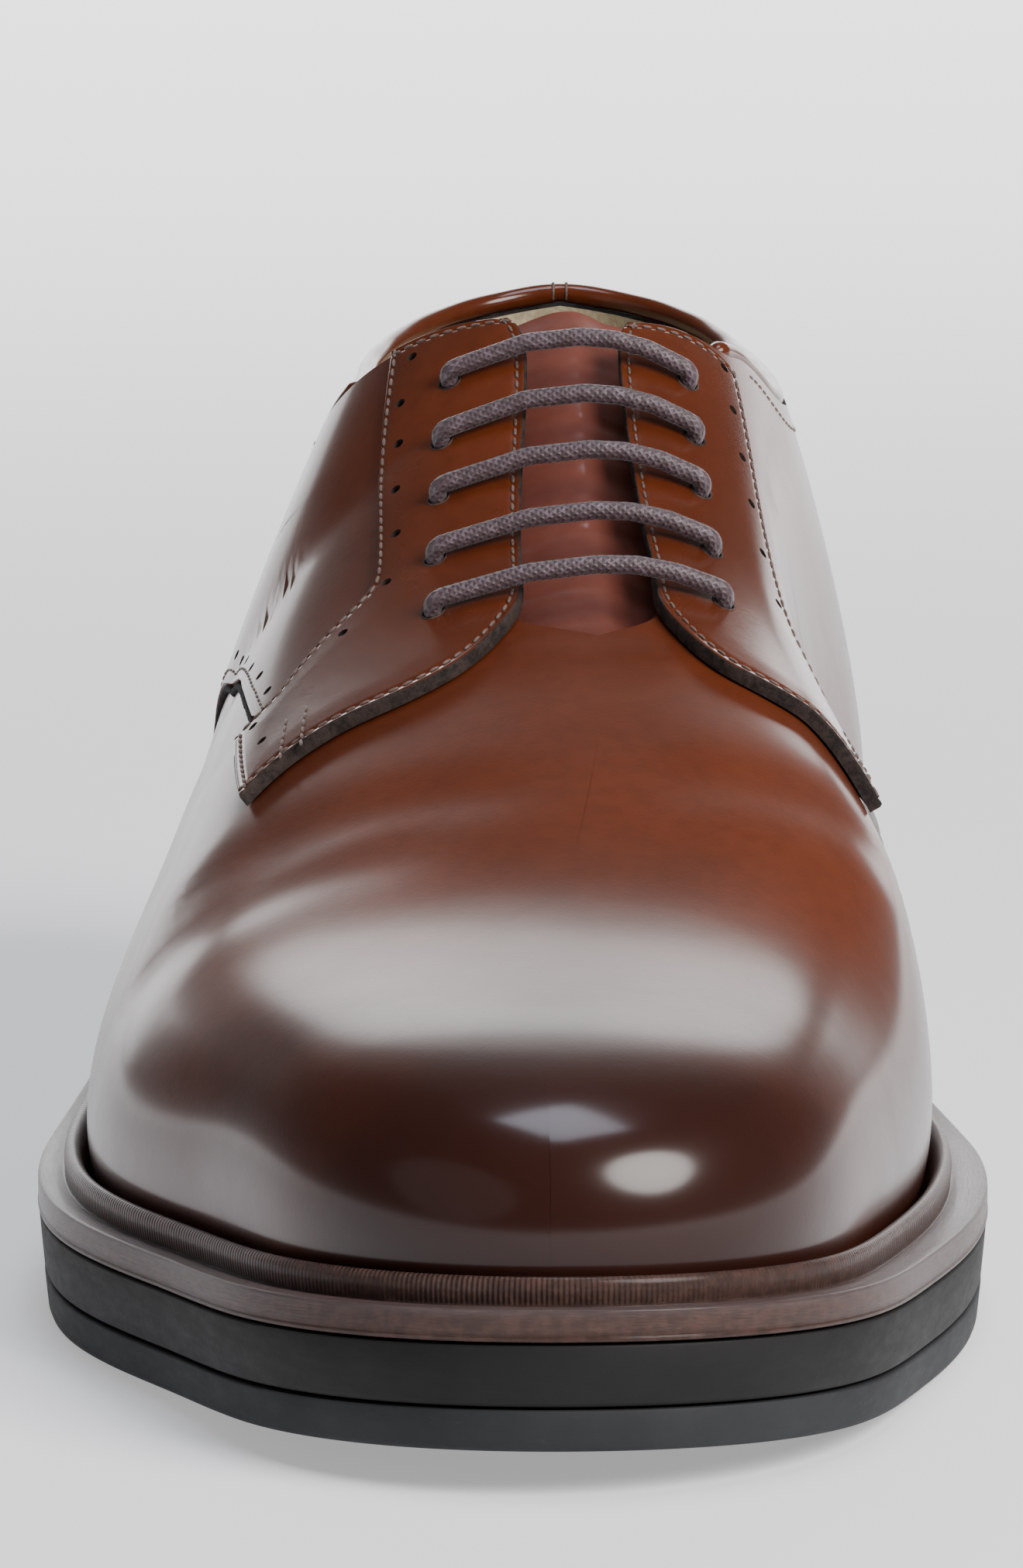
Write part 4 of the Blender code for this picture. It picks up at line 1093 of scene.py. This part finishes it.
class DerbyColours(PropertyGroup):
    """Colours of the finishes."""

    brown: colour_setting("Brown", "Polished brown of facings and vamp", (92, 42, 22))
    # The toe colour is also painted as shade low on the upper's wall.
    toe: colour_setting("Toe", "Burnished dark brown of the toe", (42, 20, 15))
    tongue: colour_setting("Tongue", "Brown of the tongue", (112, 62, 52))
    raw: colour_setting("Raw edge", "Cut edge of the leather", (33, 25, 22))
    lining: colour_setting("Lining", "Inside of the upper", (190, 176, 146))
    lace: colour_setting("Lace", "Body of the lace", (60, 43, 47))
    # The light lace colour is a painted highlight on the strands' crests.
    lace_crest_highlight: colour_setting("Lace light", "Raised strands of the lace", (104, 86, 96))
    thread: colour_setting("Thread", "Sewing thread", (92, 69, 59))
    welt: colour_setting("Welt", "Waxed edge of the welt", (58, 38, 32))
    # The worn welt colour is partly wear and partly painted sheen on the welt's top.
    welt_worn_sheen: colour_setting("Worn welt", "Greyed burnish of the welt", (92, 80, 80))
    black_rubber: colour_setting("Black rubber", "Midsole and heel", (24, 23, 23))
    grey_rubber: colour_setting("Grey rubber", "Outsole and top lift", (40, 41, 43))
    insole: colour_setting("Insole", "Insole leather", (168, 130, 92))
    floor: colour_setting("Floor", "Pale floor", (244, 244, 245))


class DERBY_OT_upper(Operator):
    """Hollow upper: fine outer wall with the quarter's edge and soft creases, lined inside."""

    bl_idname = "derby.upper"
    bl_label = "Upper"

    def execute(self, context):
        tones = context.scene.derby_colours
        sizes = context.scene.derby_sizes
        places, behind = shell_places(140, 76)
        share = np.linspace(0, 1, 52) ** 1.1
        points, faces, kinds, start = [], [], [], 0
        for side in (-1, 1):
            along, rise, lift = shell_side(side, places, behind, share)
            turn = turn_of(along)
            outer = surface(side, turn, rise, lift)
            inner = surface(side, turn, rise, np.full(rise.shape, -WALL))
            outer[:, 0, 2] = inner[:, 0, 2] = seat(along[:, 0])
            out = np.arange(outer[..., 0].size).reshape(rise.shape) + start
            back = out + out.size
            start += 2 * out.size
            points += [outer.reshape(-1, 3), inner.reshape(-1, 3)]
            foot = np.stack([out[:, 0], back[:, 0]])
            rim = np.stack([out[:behind, -1], back[:behind, -1]])
            parts = ((quads(out), 0), (quads(back), 1), (quads(foot), 2), (quads(rim), 2))
            faces += [part for part, kind in parts]
            kinds += [np.full(len(part), kind) for part, kind in parts]
        points = np.concatenate(points)
        points[np.abs(points[:, 0]) < 0.000002, 0] = 0.0
        count = sum(len(part) for part in faces)
        looks = (
            polished_leather("polished_calf", tuple(tones.brown), tuple(tones.toe)),
            soft_lining("lining", tuple(tones.lining)),
            raw_leather("cut_edge", tuple(tones.raw)),
        )
        faces, kinds = np.concatenate(faces), np.concatenate(kinds)
        piece = put("upper_shell", ("upper",), points, faces, looks, kinds)
        carve(piece, rods("eyelet_rods", eyelet_list(), -0.006, 0.006, sizes.eyelet_radius, looks[2]))
        carve(piece, rods("arch_rods", HOLES[FACING_HOLES:], -0.0005, 0.004, sizes.hole_radius, looks[2]))
        # Painted shade: a dark rod along the foot of the quarter's edge stands for the cut edge and the
        # shade of the step over the vamp.
        shade = raw_leather("quarter_edge_shade", tuple(c * 0.35 for c in tones.raw))

        def edge_radius(distance, angle):
            return QUARTER_EDGE_RADIUS + 0.00004 * np.sin(distance * 3000 + angle)

        for side, word in ((-1, "lateral"), (1, "medial")):
            path = beside_edge(side, -QUARTER_EDGE_AHEAD, QUARTER_EDGE_LIFT)[0]
            points, faces, uv = rod_mesh(even_path(path, 0.0006), edge_radius, 10)
            put("quarter_edge_shade_" + word, (), points, faces, (shade,), uv=uv)
        if count < 1000 or len(piece.data.polygons) < 1000:
            raise RuntimeError("the upper lost its faces")
        return {"FINISHED"}


class DERBY_OT_facings(Operator):
    """Facings: rounded cut edges, pulled-in stitch rows, punched holes and eyelets."""

    bl_idname = "derby.facings"
    bl_label = "Facings"

    def execute(self, context):
        tones = context.scene.derby_colours
        sizes = context.scene.derby_sizes
        leather = polished_leather("facing_calf", tuple(tones.brown), tuple(tones.toe), False, 0.25)
        raw = raw_leather("facing_edge", tuple(tones.raw))
        # Painted highlight: the eyelet rims are a paler copy of the cut edge.
        worn = raw_leather("painted_highlight_rim", tuple(c * 2.2 for c in tones.raw))
        for side, table, word in ((-1, FACING_LATERAL, "lateral"), (1, FACING_MEDIAL, "medial")):
            along, rise, *borders = facing_side(side, table, 240, 60)
            near = np.minimum.reduce(borders)
            round_share = np.clip(1 - near / sizes.edge_round, 0, 1)
            drop = sizes.edge_round * (1 - np.sqrt(1 - round_share**2))
            insets = (sizes.stitch_inset, sizes.seam_inset, sizes.stitch_inset, sizes.stitch_inset)
            groove = sum(np.exp(-(((far - inset) / 0.0004) ** 2)) for far, inset in zip(borders, insets))
            pillow = 0.00012 * ease(near / 0.006)
            lift = FACING_TOP - 0.00012 + pillow - drop - sizes.groove_depth * np.minimum(groove, 1.0)
            turn = turn_of(along)
            top = surface(side, turn, rise, lift)
            under = FIT_GAP + quarter_lift(side, turn_of(along - QUARTER_CLEARANCE), rise)
            bottom = surface(side, turn, rise, under)
            upper = np.arange(along.size).reshape(along.shape)
            edge = np.concatenate([upper[0], upper[1:, -1], upper[-1, -2::-1], upper[-2::-1, 0]])
            points = np.concatenate([top.reshape(-1, 3), bottom.reshape(-1, 3)])
            sides = quads(np.stack([edge, edge + along.size]))
            crown = quads(upper)
            cut_side = np.minimum.reduce([borders[0], borders[2], borders[3]])
            bare = (cut_side.ravel()[crown].mean(1) < 0.00028).astype(int)
            kinds = np.concatenate([bare, np.ones(len(crown), int), np.ones(len(sides), int)])
            faces = np.concatenate([crown, crown + along.size, sides])
            name = "facing_sheet_" + word
            piece = put(name, ("facing_" + word,), points, faces, (leather, raw), kinds)
            eyelets = [place for place in eyelet_list() if place[0] == side]
            holes = [place for place in HOLES[:FACING_HOLES] if place[0] == side]
            carve(piece, rods("eyelet_rods", eyelets, -0.004, 0.006, sizes.eyelet_radius, raw))
            carve(piece, rods("hole_rods", holes, -0.004, 0.006, sizes.hole_radius, raw))
            points, faces = rims(eyelets, FACING_TOP - 0.00006, sizes.eyelet_radius + 0.00010, 0.00016)
            put("eyelet_rims_" + word, (), points, faces, (worn,))
        return {"FINISHED"}


class DERBY_OT_tongue(Operator):
    """Tongue: a crowned sheet with soft creases between the lace bars and a rolled top."""

    bl_idname = "derby.tongue"
    bl_label = "Tongue"

    def execute(self, context):
        tones = context.scene.derby_colours
        along = np.linspace(TONGUE[0][0], TONGUE[-1][0], 180)[:, None]
        rows = column(TONGUE, TONGUE_COLUMNS, "along")
        lateral = np.interp(along, rows, column(TONGUE, TONGUE_COLUMNS, "lateral_sweep"))
        medial = np.interp(along, rows, column(TONGUE, TONGUE_COLUMNS, "medial_sweep"))
        share = np.linspace(-1, 1, 81)[None, :]
        sweep = np.where(share < 0, share * lateral, share * medial)
        along = along + np.linspace(1, 0, 180)[:, None] ** 4 * TONGUE_DIP / LAST_LENGTH * (1 - share**2)
        turn = turn_of(along)
        side = np.where(sweep <= 0, -1.0, 1.0)
        lift = tongue_lift(along, sweep)
        bars = np.array([row[0] / 2 + row[2] / 2 for row in EYELETS])
        middle = np.concatenate([(bars[1:] + bars[:-1]) / 2, [0.556]])
        sway = 0.004 * np.sin(9 * sweep[..., None] + middle * 40)
        wave = np.exp(-(((along[..., None] - middle + sway) / 0.0035) ** 2)).sum(-1)
        soft = 0.00012 * wave + 0.00002 * np.sin(along * 700 + 3 * np.sin(sweep * 9))
        lift = lift - soft * ease((along - 0.352) / 0.02)
        border = np.minimum((1 - np.abs(share)) * 30, np.linspace(0, 16, 180)[:, None])
        roll = 0.0005 * (1 - ease(border))
        top = surface(side, turn, 1 - np.abs(sweep), lift - roll)
        bottom = surface(side, turn, 1 - np.abs(sweep), tongue_lift(along, sweep) - TONGUE_THICKNESS + roll)
        upper = np.arange(turn.size).reshape(turn.shape)
        edge = np.concatenate([upper[0], upper[1:, -1], upper[-1, -2::-1], upper[-2::-1, 0]])
        sheet = quads(upper)
        faces = np.concatenate([sheet, sheet + turn.size, quads(np.stack([edge, edge + turn.size]))])
        kinds = np.repeat([0, 1, 1], [len(sheet), len(sheet), len(edge) - 1])
        looks = (
            polished_leather("tongue_calf", tuple(tones.tongue), tuple(tones.toe), False, 0.42),
            raw_leather("tongue_back", tuple(tones.tongue)),
        )
        points = np.concatenate([top.reshape(-1, 3), bottom.reshape(-1, 3)])
        put("tongue_sheet", ("tongue",), points, faces, looks, kinds)
        return {"FINISHED"}


class DERBY_OT_binding(Operator):
    """Collar binding: a soft roll carried along the topline, with a tack over the back seam."""

    bl_idname = "derby.binding"
    bl_label = "Collar binding"

    def execute(self, context):
        tones = context.scene.derby_colours
        along = np.concatenate([np.linspace(BINDING_END, 0.0, 240), np.linspace(0.0, BINDING_END, 240)[1:]])
        side = np.concatenate([np.full(240, -1.0), np.full(239, 1.0)])
        rise = np.where(side < 0, mouth_rise(-1, along), mouth_rise(1, along))
        turn = turn_of(along)
        half = (QUARTER_STEP - WALL) / 2
        middle = surface(side, turn, rise, np.full(rise.shape, half))
        out = surface(side, turn, rise, np.full(rise.shape, half + 0.001)) - middle
        up = np.cross(np.gradient(middle, axis=0), out)
        up *= np.sign(up[:, 2:])
        up /= np.linalg.norm(up, axis=1, keepdims=True)
        path = even_path(middle + up * (BINDING_RADIUS + 0.2 * BINDING_GAP), 0.0007)
        path[1:-1] = (path[:-2] + 2 * path[1:-1] + path[2:]) / 4
        length = along_path(path)[-1]

        def radius(distance, angle):
            pinch = 0.00016 * np.exp(-(((distance - length / 2) / 0.0013) ** 2))
            ends = np.sqrt(np.clip(np.minimum(distance, length - distance) / BINDING_RADIUS, 0.02, 1))
            return (BINDING_RADIUS * (1.0 + 0.02 * np.sin(distance * 700 + np.cos(angle))) - pinch) * ends

        points, faces, uv = rod_mesh(path, radius, 20)
        leather = polished_leather("binding_calf", tuple(tones.brown), tuple(tones.toe), False, 0.30)
        put("binding_roll", ("collar_binding",), points, faces, (leather,), uv=uv)
        middle = path[len(path) // 2]
        lean = np.linspace(-0.25, 1.25, 30) * math.pi
        ring = np.stack([np.zeros(30), np.cos(lean), np.sin(lean)], -1) * (BINDING_RADIUS - 0.00018)
        look = thread("tack_thread", tuple(tones.thread))

        def tack_radius(distance, angle):
            return TACK_RADIUS + 0 * distance * angle

        for name, shift in (("left", -0.0009), ("right", 0.0009)):
            points, faces, uv = rod_mesh(middle + ring + (shift, 0.0, 0.0), tack_radius, 8)
            put("back_tack_" + name, (), points, faces, (look,), uv=uv)
        return {"FINISHED"}


class DERBY_OT_lace(Operator):
    """Lace: one round braid through the ten eyelets, its ends under the top pair."""

    bl_idname = "derby.lace"
    bl_label = "Lace"

    def execute(self, context):
        tones = context.scene.derby_colours
        sizes = context.scene.derby_sizes
        corners = []
        for number, row in enumerate(EYELETS):
            turned = 1 if number % 2 == 0 else -1
            first, second = ((-1, row[0], row[1]), (1, row[2], row[3]))[::turned]
            sweep_a, sweep_b = first[0] * (1 - first[2]), second[0] * (1 - second[2])
            share = np.array([0.0, 0.0, 0.25, 0.42, 0.58, 0.75, 1.0, 1.0])
            arch = [LACE_OVER + LACE_ARCH * part for part in (0.6, 1, 1, 0.6)]
            lift = np.array([-LACE_UNDER, LACE_OVER, *arch, LACE_OVER, -LACE_UNDER])
            sweep = sweep_a + (sweep_b - sweep_a) * share
            turn = turn_of(first[1]) + (turn_of(second[1]) - turn_of(first[1])) * share
            corners.append(surface(np.where(sweep <= 0, -1.0, 1.0), turn, 1 - np.abs(sweep), lift))
        corners = np.concatenate(corners)
        path = even_path(rounded(list(corners), LACE_BEND, 12), 0.00016)
        for _ in range(12):
            path[1:-1] = (path[:-2] + 2 * path[1:-1] + path[2:]) / 4
        length = along_path(path)[-1]

        def radius(distance, angle):
            run = distance * 2 * math.pi / BRAID_PITCH
            strands = np.maximum(np.sin(run + 8 * angle), np.sin(run - 8 * angle))
            ends = np.sqrt(np.clip(np.minimum(distance, length - distance) / 0.0006, 0.02, 1))
            return (LACE_RADIUS + sizes.braid_depth * (strands - 0.7)) * ends

        points, faces, uv = rod_mesh(path, radius, 28)
        cord = braided_cord("waxed_braid", tuple(tones.lace), tuple(tones.lace_crest_highlight))
        put("lace_cord", ("laces",), points, faces, (cord,), uv=uv, sharp=180)
        return {"FINISHED"}


class DERBY_OT_stitches(Operator):
    """Thread: rows along the facings, the quarter's edge and the topline, with the bar tacks."""

    bl_idname = "derby.stitches"
    bl_label = "Stitches"

    def execute(self, context):
        tones = context.scene.derby_colours
        sizes = context.scene.derby_sizes
        rows = {"lateral": [], "medial": []}
        for side, table, word in ((-1, FACING_LATERAL, "lateral"), (1, FACING_MEDIAL, "medial")):
            along, rise, from_edge, from_seam, from_top, from_tab = facing_side(side, table, 160, 50)
            lines = [
                line_at(from_edge, sizes.stitch_inset, along, rise),
                line_at(from_seam[:, ::-1], sizes.seam_inset, along[:, ::-1], rise[:, ::-1]),
                line_at(from_top.T, sizes.stitch_inset, along.T, rise.T),
                line_at(from_tab.T[:, ::-1], sizes.stitch_inset, along.T[:, ::-1], rise.T[:, ::-1]),
            ]
            lift = FACING_TOP - 0.00012 - 0.3 * sizes.groove_depth
            for line_along, line_rise in lines:
                lifts = np.full(len(line_along) - 4, lift)
                rows[word].append(frames_at(side, line_along[2:-2], line_rise[2:-2], lifts)[:2])
        lift = QUARTER_STEP - STITCH_SINK
        back = np.linspace(0.0, TOPLINE_STITCH_END, 160)
        for side, word in ((-1, "lateral"), (1, "medial")):
            rows[word].append(beside_edge(side, ARCH_STITCH_INSET, lift))
            below = mouth_rise(side, back) - TOPLINE_STITCH_DROP
            rows[word].append(frames_at(side, back, below, np.full(160, lift))[:2])
        for side, start, end, rises, word in (
            (-1, 0.574, 0.612, (0.683, 0.708), "lateral"),
            (1, 0.566, 0.598, (0.520, 0.545), "medial"),
        ):
            for high in rises:
                tack = np.linspace(start, end, 12)
                lifts = np.full(12, FACING_TOP - 0.00002)
                rows[word].append(frames_at(side, tack, np.full(12, high), lifts)[:2])
        look = thread("sewing_thread", tuple(tones.thread))
        measures = (sizes.stitch_pitch, sizes.stitch_length, sizes.thread_thickness)
        for word, slot in (("lateral", "facing_leather_lateral"), ("medial", "facing_leather_medial")):
            points, faces = stitch_mesh(rows[word], *measures)
            put("stitch_rows_" + word, (), points, faces, (look,), join=0.0000001, sharp=180)
        return {"FINISHED"}


class DERBY_OT_welt(Operator):
    """Welt: its section carried round the sole, corners cut round, with a ribbed bead at the wall."""

    bl_idname = "derby.welt"
    bl_label = "Welt"

    def execute(self, context):
        tones = context.scene.derby_colours
        heel = np.linspace(0, 0.25, 14)[:-1]
        toe = np.linspace(2.85, math.pi, 26)[1:]
        turn = np.concatenate([heel, np.linspace(0.25, 2.85, 190), toe])
        nothing = np.zeros(turn.shape)
        flip = (1, -1)
        outers = [edge * flip + (0, LAST_LENGTH / 2) for edge in plan_edge(turn, sole_standout(turn))]
        inners = [edge * flip + (0, LAST_LENGTH / 2) for edge in plan_edge(turn, (nothing, nothing))]
        heights = WELT * np.array([row[2] for row in WELT_PROFILE])
        walls = wall_lines(turn, heights)
        rings = []
        for number, (anchor, out_share, height_share) in enumerate(WELT_PROFILE):
            halves = []
            for outer, inner, wall in zip(outers, inners, walls):
                out = outer - inner
                out /= np.linalg.norm(out, axis=1, keepdims=True)
                if anchor == "edge":
                    halves.append(outer + out * SOLE_STANDOUT * out_share)
                else:
                    halves.append(wall[:, :, number] + out * (WELT_GAP + BEAD_WIDTH * out_share))
            left, right = halves
            left[0, 0] = left[-1, 0] = 0.0
            loop = np.concatenate([left, right[-2:0:-1]])
            z = seat(np.clip(0.5 - loop[:, 1] / LAST_LENGTH, 0, 1.04)) + WELT * height_share
            rings.append(np.concatenate([loop, z[:, None]], 1))
        ring = smooth_ring(np.stack(rings, 1), 2)
        around = np.concatenate([ring, ring[:1]])
        count, corners = around.shape[:2]
        run = along_path(around[:, 12])[:, None] + np.zeros((1, corners))
        over = (np.arange(corners)[None, :] + 0.5) / corners + np.zeros((count, 1))
        index = closed(np.arange(count * corners).reshape(count, corners))
        uv = np.stack([run, over], -1)
        look = welt_leather("welt_leather_waxed", tuple(tones.welt), tuple(tones.welt_worn_sheen))
        put("welt_ring", ("welt",), around, quads(index), (look,), uv=uv)
        return {"FINISHED"}


def layer(name, slot, node, looks, turn, levels, low, high, breast=None):
    """Layer of the sole: outlines at (inset, share of the height, nudge) levels, closed above and below."""
    rings = []
    for inset, share, nudge in levels:
        edges = plan_edge(turn, sole_standout(turn, inset))
        if breast:
            edges[0][-1, 1] = edges[1][-1, 1] = breast - min(inset, 0.0005)
        level = np.stack(edges, 1)
        along = level[..., 1] / LAST_LENGTH
        z = low(along) * (1 - share) + high(along) * share + nudge
        rings.append(np.stack([level[..., 0], LAST_LENGTH / 2 - level[..., 1], z], -1))
    points = np.stack(rings)
    index = np.arange(points[..., 0].size).reshape(points.shape[:3])
    loops = np.concatenate([index[:, :, 0], index[:, ::-1, 1]], 1)
    faces = np.concatenate([quads(closed(loops)), quads(index[0]), quads(index[-1])])
    return put(name, (node,), points, faces, looks, sharp=50)


def lifted(height):
    """Height over the outsole's underside, as a function of the place along the last."""
    return lambda along: ground_lift(np.clip(along, 0, 1.04)) + height


def level_at(height):
    """One height over the floor, as a function of the place along the last."""
    return lambda along: np.full(along.shape, height)


class DERBY_OT_sole(Operator):
    """Midsole, outsole, heel block and top lift: outlines stacked with softened edges."""

    bl_idname = "derby.sole"
    bl_label = "Sole"

    def execute(self, context):
        tones = context.scene.derby_colours
        black = sole_rubber("black_rubber", tuple(tones.black_rubber), 0.62)
        grey = sole_rubber("grey_rubber", tuple(tones.grey_rubber), 0.66)
        turn = np.linspace(0, math.pi, 281)
        soft = 0.0004
        mid_low = OUTSOLE + FIT_GAP
        sides = (
            ("outsole_layer", "outsole_rubber", "outsole", grey, 0.0, OUTSOLE, 1.0, 0.65),
            ("midsole_layer", "midsole_rubber", "midsole", black, mid_low, mid_low + MIDSOLE, 0.6, 0.1),
        )
        for name, slot, node, look, low, high, taper_low, taper_high in sides:
            inset_low, inset_high = taper_low * SIDE_TAPER, taper_high * SIDE_TAPER
            levels = (
                (inset_low + 4 * soft, 0, 0),
                (inset_low + 1.3 * soft, 0, 0),
                (inset_low + 0.4 * soft, 0, 0.4 * soft),
                (inset_low, 0, 1.4 * soft),
                ((inset_low + inset_high) / 2, 0.5, 0),
                (inset_high, 1, -0.9 * soft),
                (inset_high + 0.25 * soft, 1, -0.25 * soft),
                (inset_high + 0.9 * soft, 1, 0),
                (inset_high + 4 * soft, 1, 0),
            )
            layer(name, slot, node, (look,), turn, levels, lifted(low), lifted(high))
        turn = np.linspace(0, float(turn_of(HEEL_BREAST)), 100)
        over_lift = level_at(TOP_LIFT + FIT_GAP)
        lift_top = level_at(TOP_LIFT)
        heels = (
            ("heel_stack", "heel_rubber", "heel_block", black, over_lift, lifted(-FIT_GAP), 2, 1),
            ("top_lift_plate", "top_lift_rubber", "top_lift", grey, level_at(0.0), lift_top, 2, 2),
        )
        for name, slot, node, look, low, high, back_low, back_high in heels:
            inset_low = SIDE_TAPER + back_low * HEEL_SETBACK
            inset_high = SIDE_TAPER + back_high * HEEL_SETBACK
            levels = (
                (inset_low + 2 * soft, 0, 0),
                (inset_low + 0.8 * soft, 0, 0),
                (inset_low, 0, 0.8 * soft),
                (inset_high, 1, -0.8 * soft),
                (inset_high + 0.8 * soft, 1, 0),
                (inset_high + 2 * soft, 1, 0),
            )
            layer(name, slot, node, (look,), turn, levels, low, high, HEEL_BREAST * LAST_LENGTH)
        return {"FINISHED"}


class DERBY_OT_insole(Operator):
    """Insole: a flat leather sheet on the midsole inside the wall."""

    bl_idname = "derby.insole"
    bl_label = "Insole"

    def execute(self, context):
        tones = context.scene.derby_colours
        turn = np.linspace(0, math.pi, 201)
        rings = []
        round_over = 0.0006
        section = (
            (0.0016, 0.0),
            (0.0, 0.0),
            (0.0, INSOLE - round_over),
            (round_over, INSOLE),
            (0.0030, INSOLE),
        )
        for extra, height in section:
            inset = np.full(turn.shape, -(WALL + INSOLE_GAP + extra))
            level = np.stack(plan_edge(turn, (inset, inset)), 1)
            z = seat(level[..., 1] / LAST_LENGTH) + height
            rings.append(np.stack([level[..., 0], LAST_LENGTH / 2 - level[..., 1], z], -1))
        points = np.stack(rings)
        index = np.arange(points[..., 0].size).reshape(points.shape[:3])
        loops = np.concatenate([index[:, :, 0], index[:, ::-1, 1]], 1)
        faces = np.concatenate([quads(closed(loops)), quads(index[0]), quads(index[-1])])
        look = plain_insole("insole_leather_tan", tuple(tones.insole))
        put("insole_sheet", ("insole",), points, faces, (look,))
        return {"FINISHED"}


class DERBY_OT_stage(Operator):
    """Pale floor glowing as painted light, dimmer near the shoe as painted shade, soft lights and the
    camera at the photograph's angle.
    """

    bl_idname = "derby.stage"
    bl_label = "Stage"

    def execute(self, context):
        scene = context.scene
        floor_look = Finish("floor_glow_and_shade", 0.9, Specular_IOR_Level=0.0)
        place = {0: floor_look.place}
        away = floor_look.add("ShaderNodeVectorMath", place, operation="LENGTH", output="Value")
        # Painted light: the floor glows, and less near the shoe as painted shade.
        floor_look.set("Emission Strength", floor_look.spread(away, *FLOOR_RINGS, *FLOOR_GLOW))
        floor_look.set("Base Color", (*(c * FLOOR_SHADE for c in scene.derby_colours.floor), 1.0))
        floor_look.set("Emission Color", (*scene.derby_colours.floor, 1.0))
        back = np.linspace(-4.0, 8.0, 60)
        rise = np.zeros(60)
        wide = np.linspace(-6.0, 6.0, 3)
        points = np.stack(np.broadcast_arrays(wide[None, :], back[:, None], rise[:, None]), -1)
        mesh = bpy.data.meshes.new("floor")
        faces = quads(np.arange(180).reshape(60, 3))
        mesh.from_pydata(points.reshape(-1, 3).tolist(), [], faces[:, ::-1].tolist())
        mesh.materials.append(floor_look.material)
        mesh.polygons.foreach_set("use_smooth", np.ones(len(mesh.polygons), bool))
        floor = bpy.data.objects.new("floor", mesh)
        scene.collection.objects.link(floor)

        world = bpy.data.worlds.new("studio")
        world.use_nodes = True
        sky = world.node_tree.nodes["Background"]
        sky.inputs["Color"].default_value = (1.0, 1.0, 1.0, 1.0)
        sky.inputs["Strength"].default_value = WORLD_LIGHT
        scene.world = world
        for name, place, aim, width, height, radiance, tint in LIGHTS:
            lamp = bpy.data.lights.new(name, "AREA")
            lamp.shape = "ELLIPSE" if name.startswith("round") else "RECTANGLE"
            lamp.size = width
            lamp.size_y = height
            lamp.energy = radiance * width * height * math.pi
            lamp.color = tint
            item = bpy.data.objects.new(name, lamp)
            item.location = Vector(place)
            item.rotation_euler = (Vector(place) - Vector(aim)).to_track_quat("Z", "Y").to_euler()
            scene.collection.objects.link(item)

        data = bpy.data.cameras.new("view")
        data.sensor_fit = "HORIZONTAL"
        data.sensor_width = 36.0
        data.lens = FOCAL * 36.0 / PHOTO_WIDTH
        data.shift_x = (PHOTO_WIDTH / 2 - CENTRE_X) / PHOTO_WIDTH
        data.shift_y = (CENTRE_Y - PHOTO_HEIGHT / 2) / PHOTO_WIDTH
        data.clip_end = 50.0
        data.dof.use_dof = False
        camera = bpy.data.objects.new("view", data)
        up, round_ = math.radians(CAMERA_UP), math.radians(CAMERA_ROUND)
        target = Vector(ORIGIN) + Vector((0.0, 0.0, 0.05))
        way = Vector((math.sin(round_) * math.cos(up), -math.cos(round_) * math.cos(up), math.sin(up)))
        camera.location = target + way * CAMERA_FAR
        camera.rotation_euler = way.to_track_quat("Z", "Y").to_euler()
        scene.collection.objects.link(camera)
        scene.camera = camera
        return {"FINISHED"}


STEPS = (
    DERBY_OT_upper,
    DERBY_OT_facings,
    DERBY_OT_tongue,
    DERBY_OT_binding,
    DERBY_OT_lace,
    DERBY_OT_stitches,
    DERBY_OT_welt,
    DERBY_OT_sole,
    DERBY_OT_insole,
    DERBY_OT_stage,
)


class DERBY_PT_panel(Panel):
    """Pieces, sizes and colours of the derby."""

    bl_idname = "DERBY_PT_panel"
    bl_label = "Plain toe derby"
    bl_space_type = "VIEW_3D"
    bl_region_type = "UI"
    bl_category = "Derby"

    def draw(self, context):
        layout = self.layout
        for settings in (context.scene.derby_sizes, context.scene.derby_colours):
            for name in settings.__annotations__:
                layout.prop(settings, name)
        for step in STEPS:
            layout.operator(step.bl_idname)


CLASSES = (DerbySizes, DerbyColours, *STEPS, DERBY_PT_panel)


def register():
    """Make the settings, operators and panel known."""
    for item in CLASSES:
        bpy.utils.register_class(item)
    bpy.types.Scene.derby_sizes = PointerProperty(type=DerbySizes)
    bpy.types.Scene.derby_colours = PointerProperty(type=DerbyColours)


def unregister():
    """Take them away again."""
    del bpy.types.Scene.derby_colours
    del bpy.types.Scene.derby_sizes
    for item in reversed(CLASSES):
        bpy.utils.unregister_class(item)


def main():
    """Build every piece and the stage."""
    register()
    bpy.ops.derby.upper()
    bpy.ops.derby.facings()
    bpy.ops.derby.tongue()
    bpy.ops.derby.binding()
    bpy.ops.derby.lace()
    bpy.ops.derby.stitches()
    bpy.ops.derby.welt()
    bpy.ops.derby.sole()
    bpy.ops.derby.insole()
    bpy.ops.derby.stage()


if __name__ == "__main__":
    main()
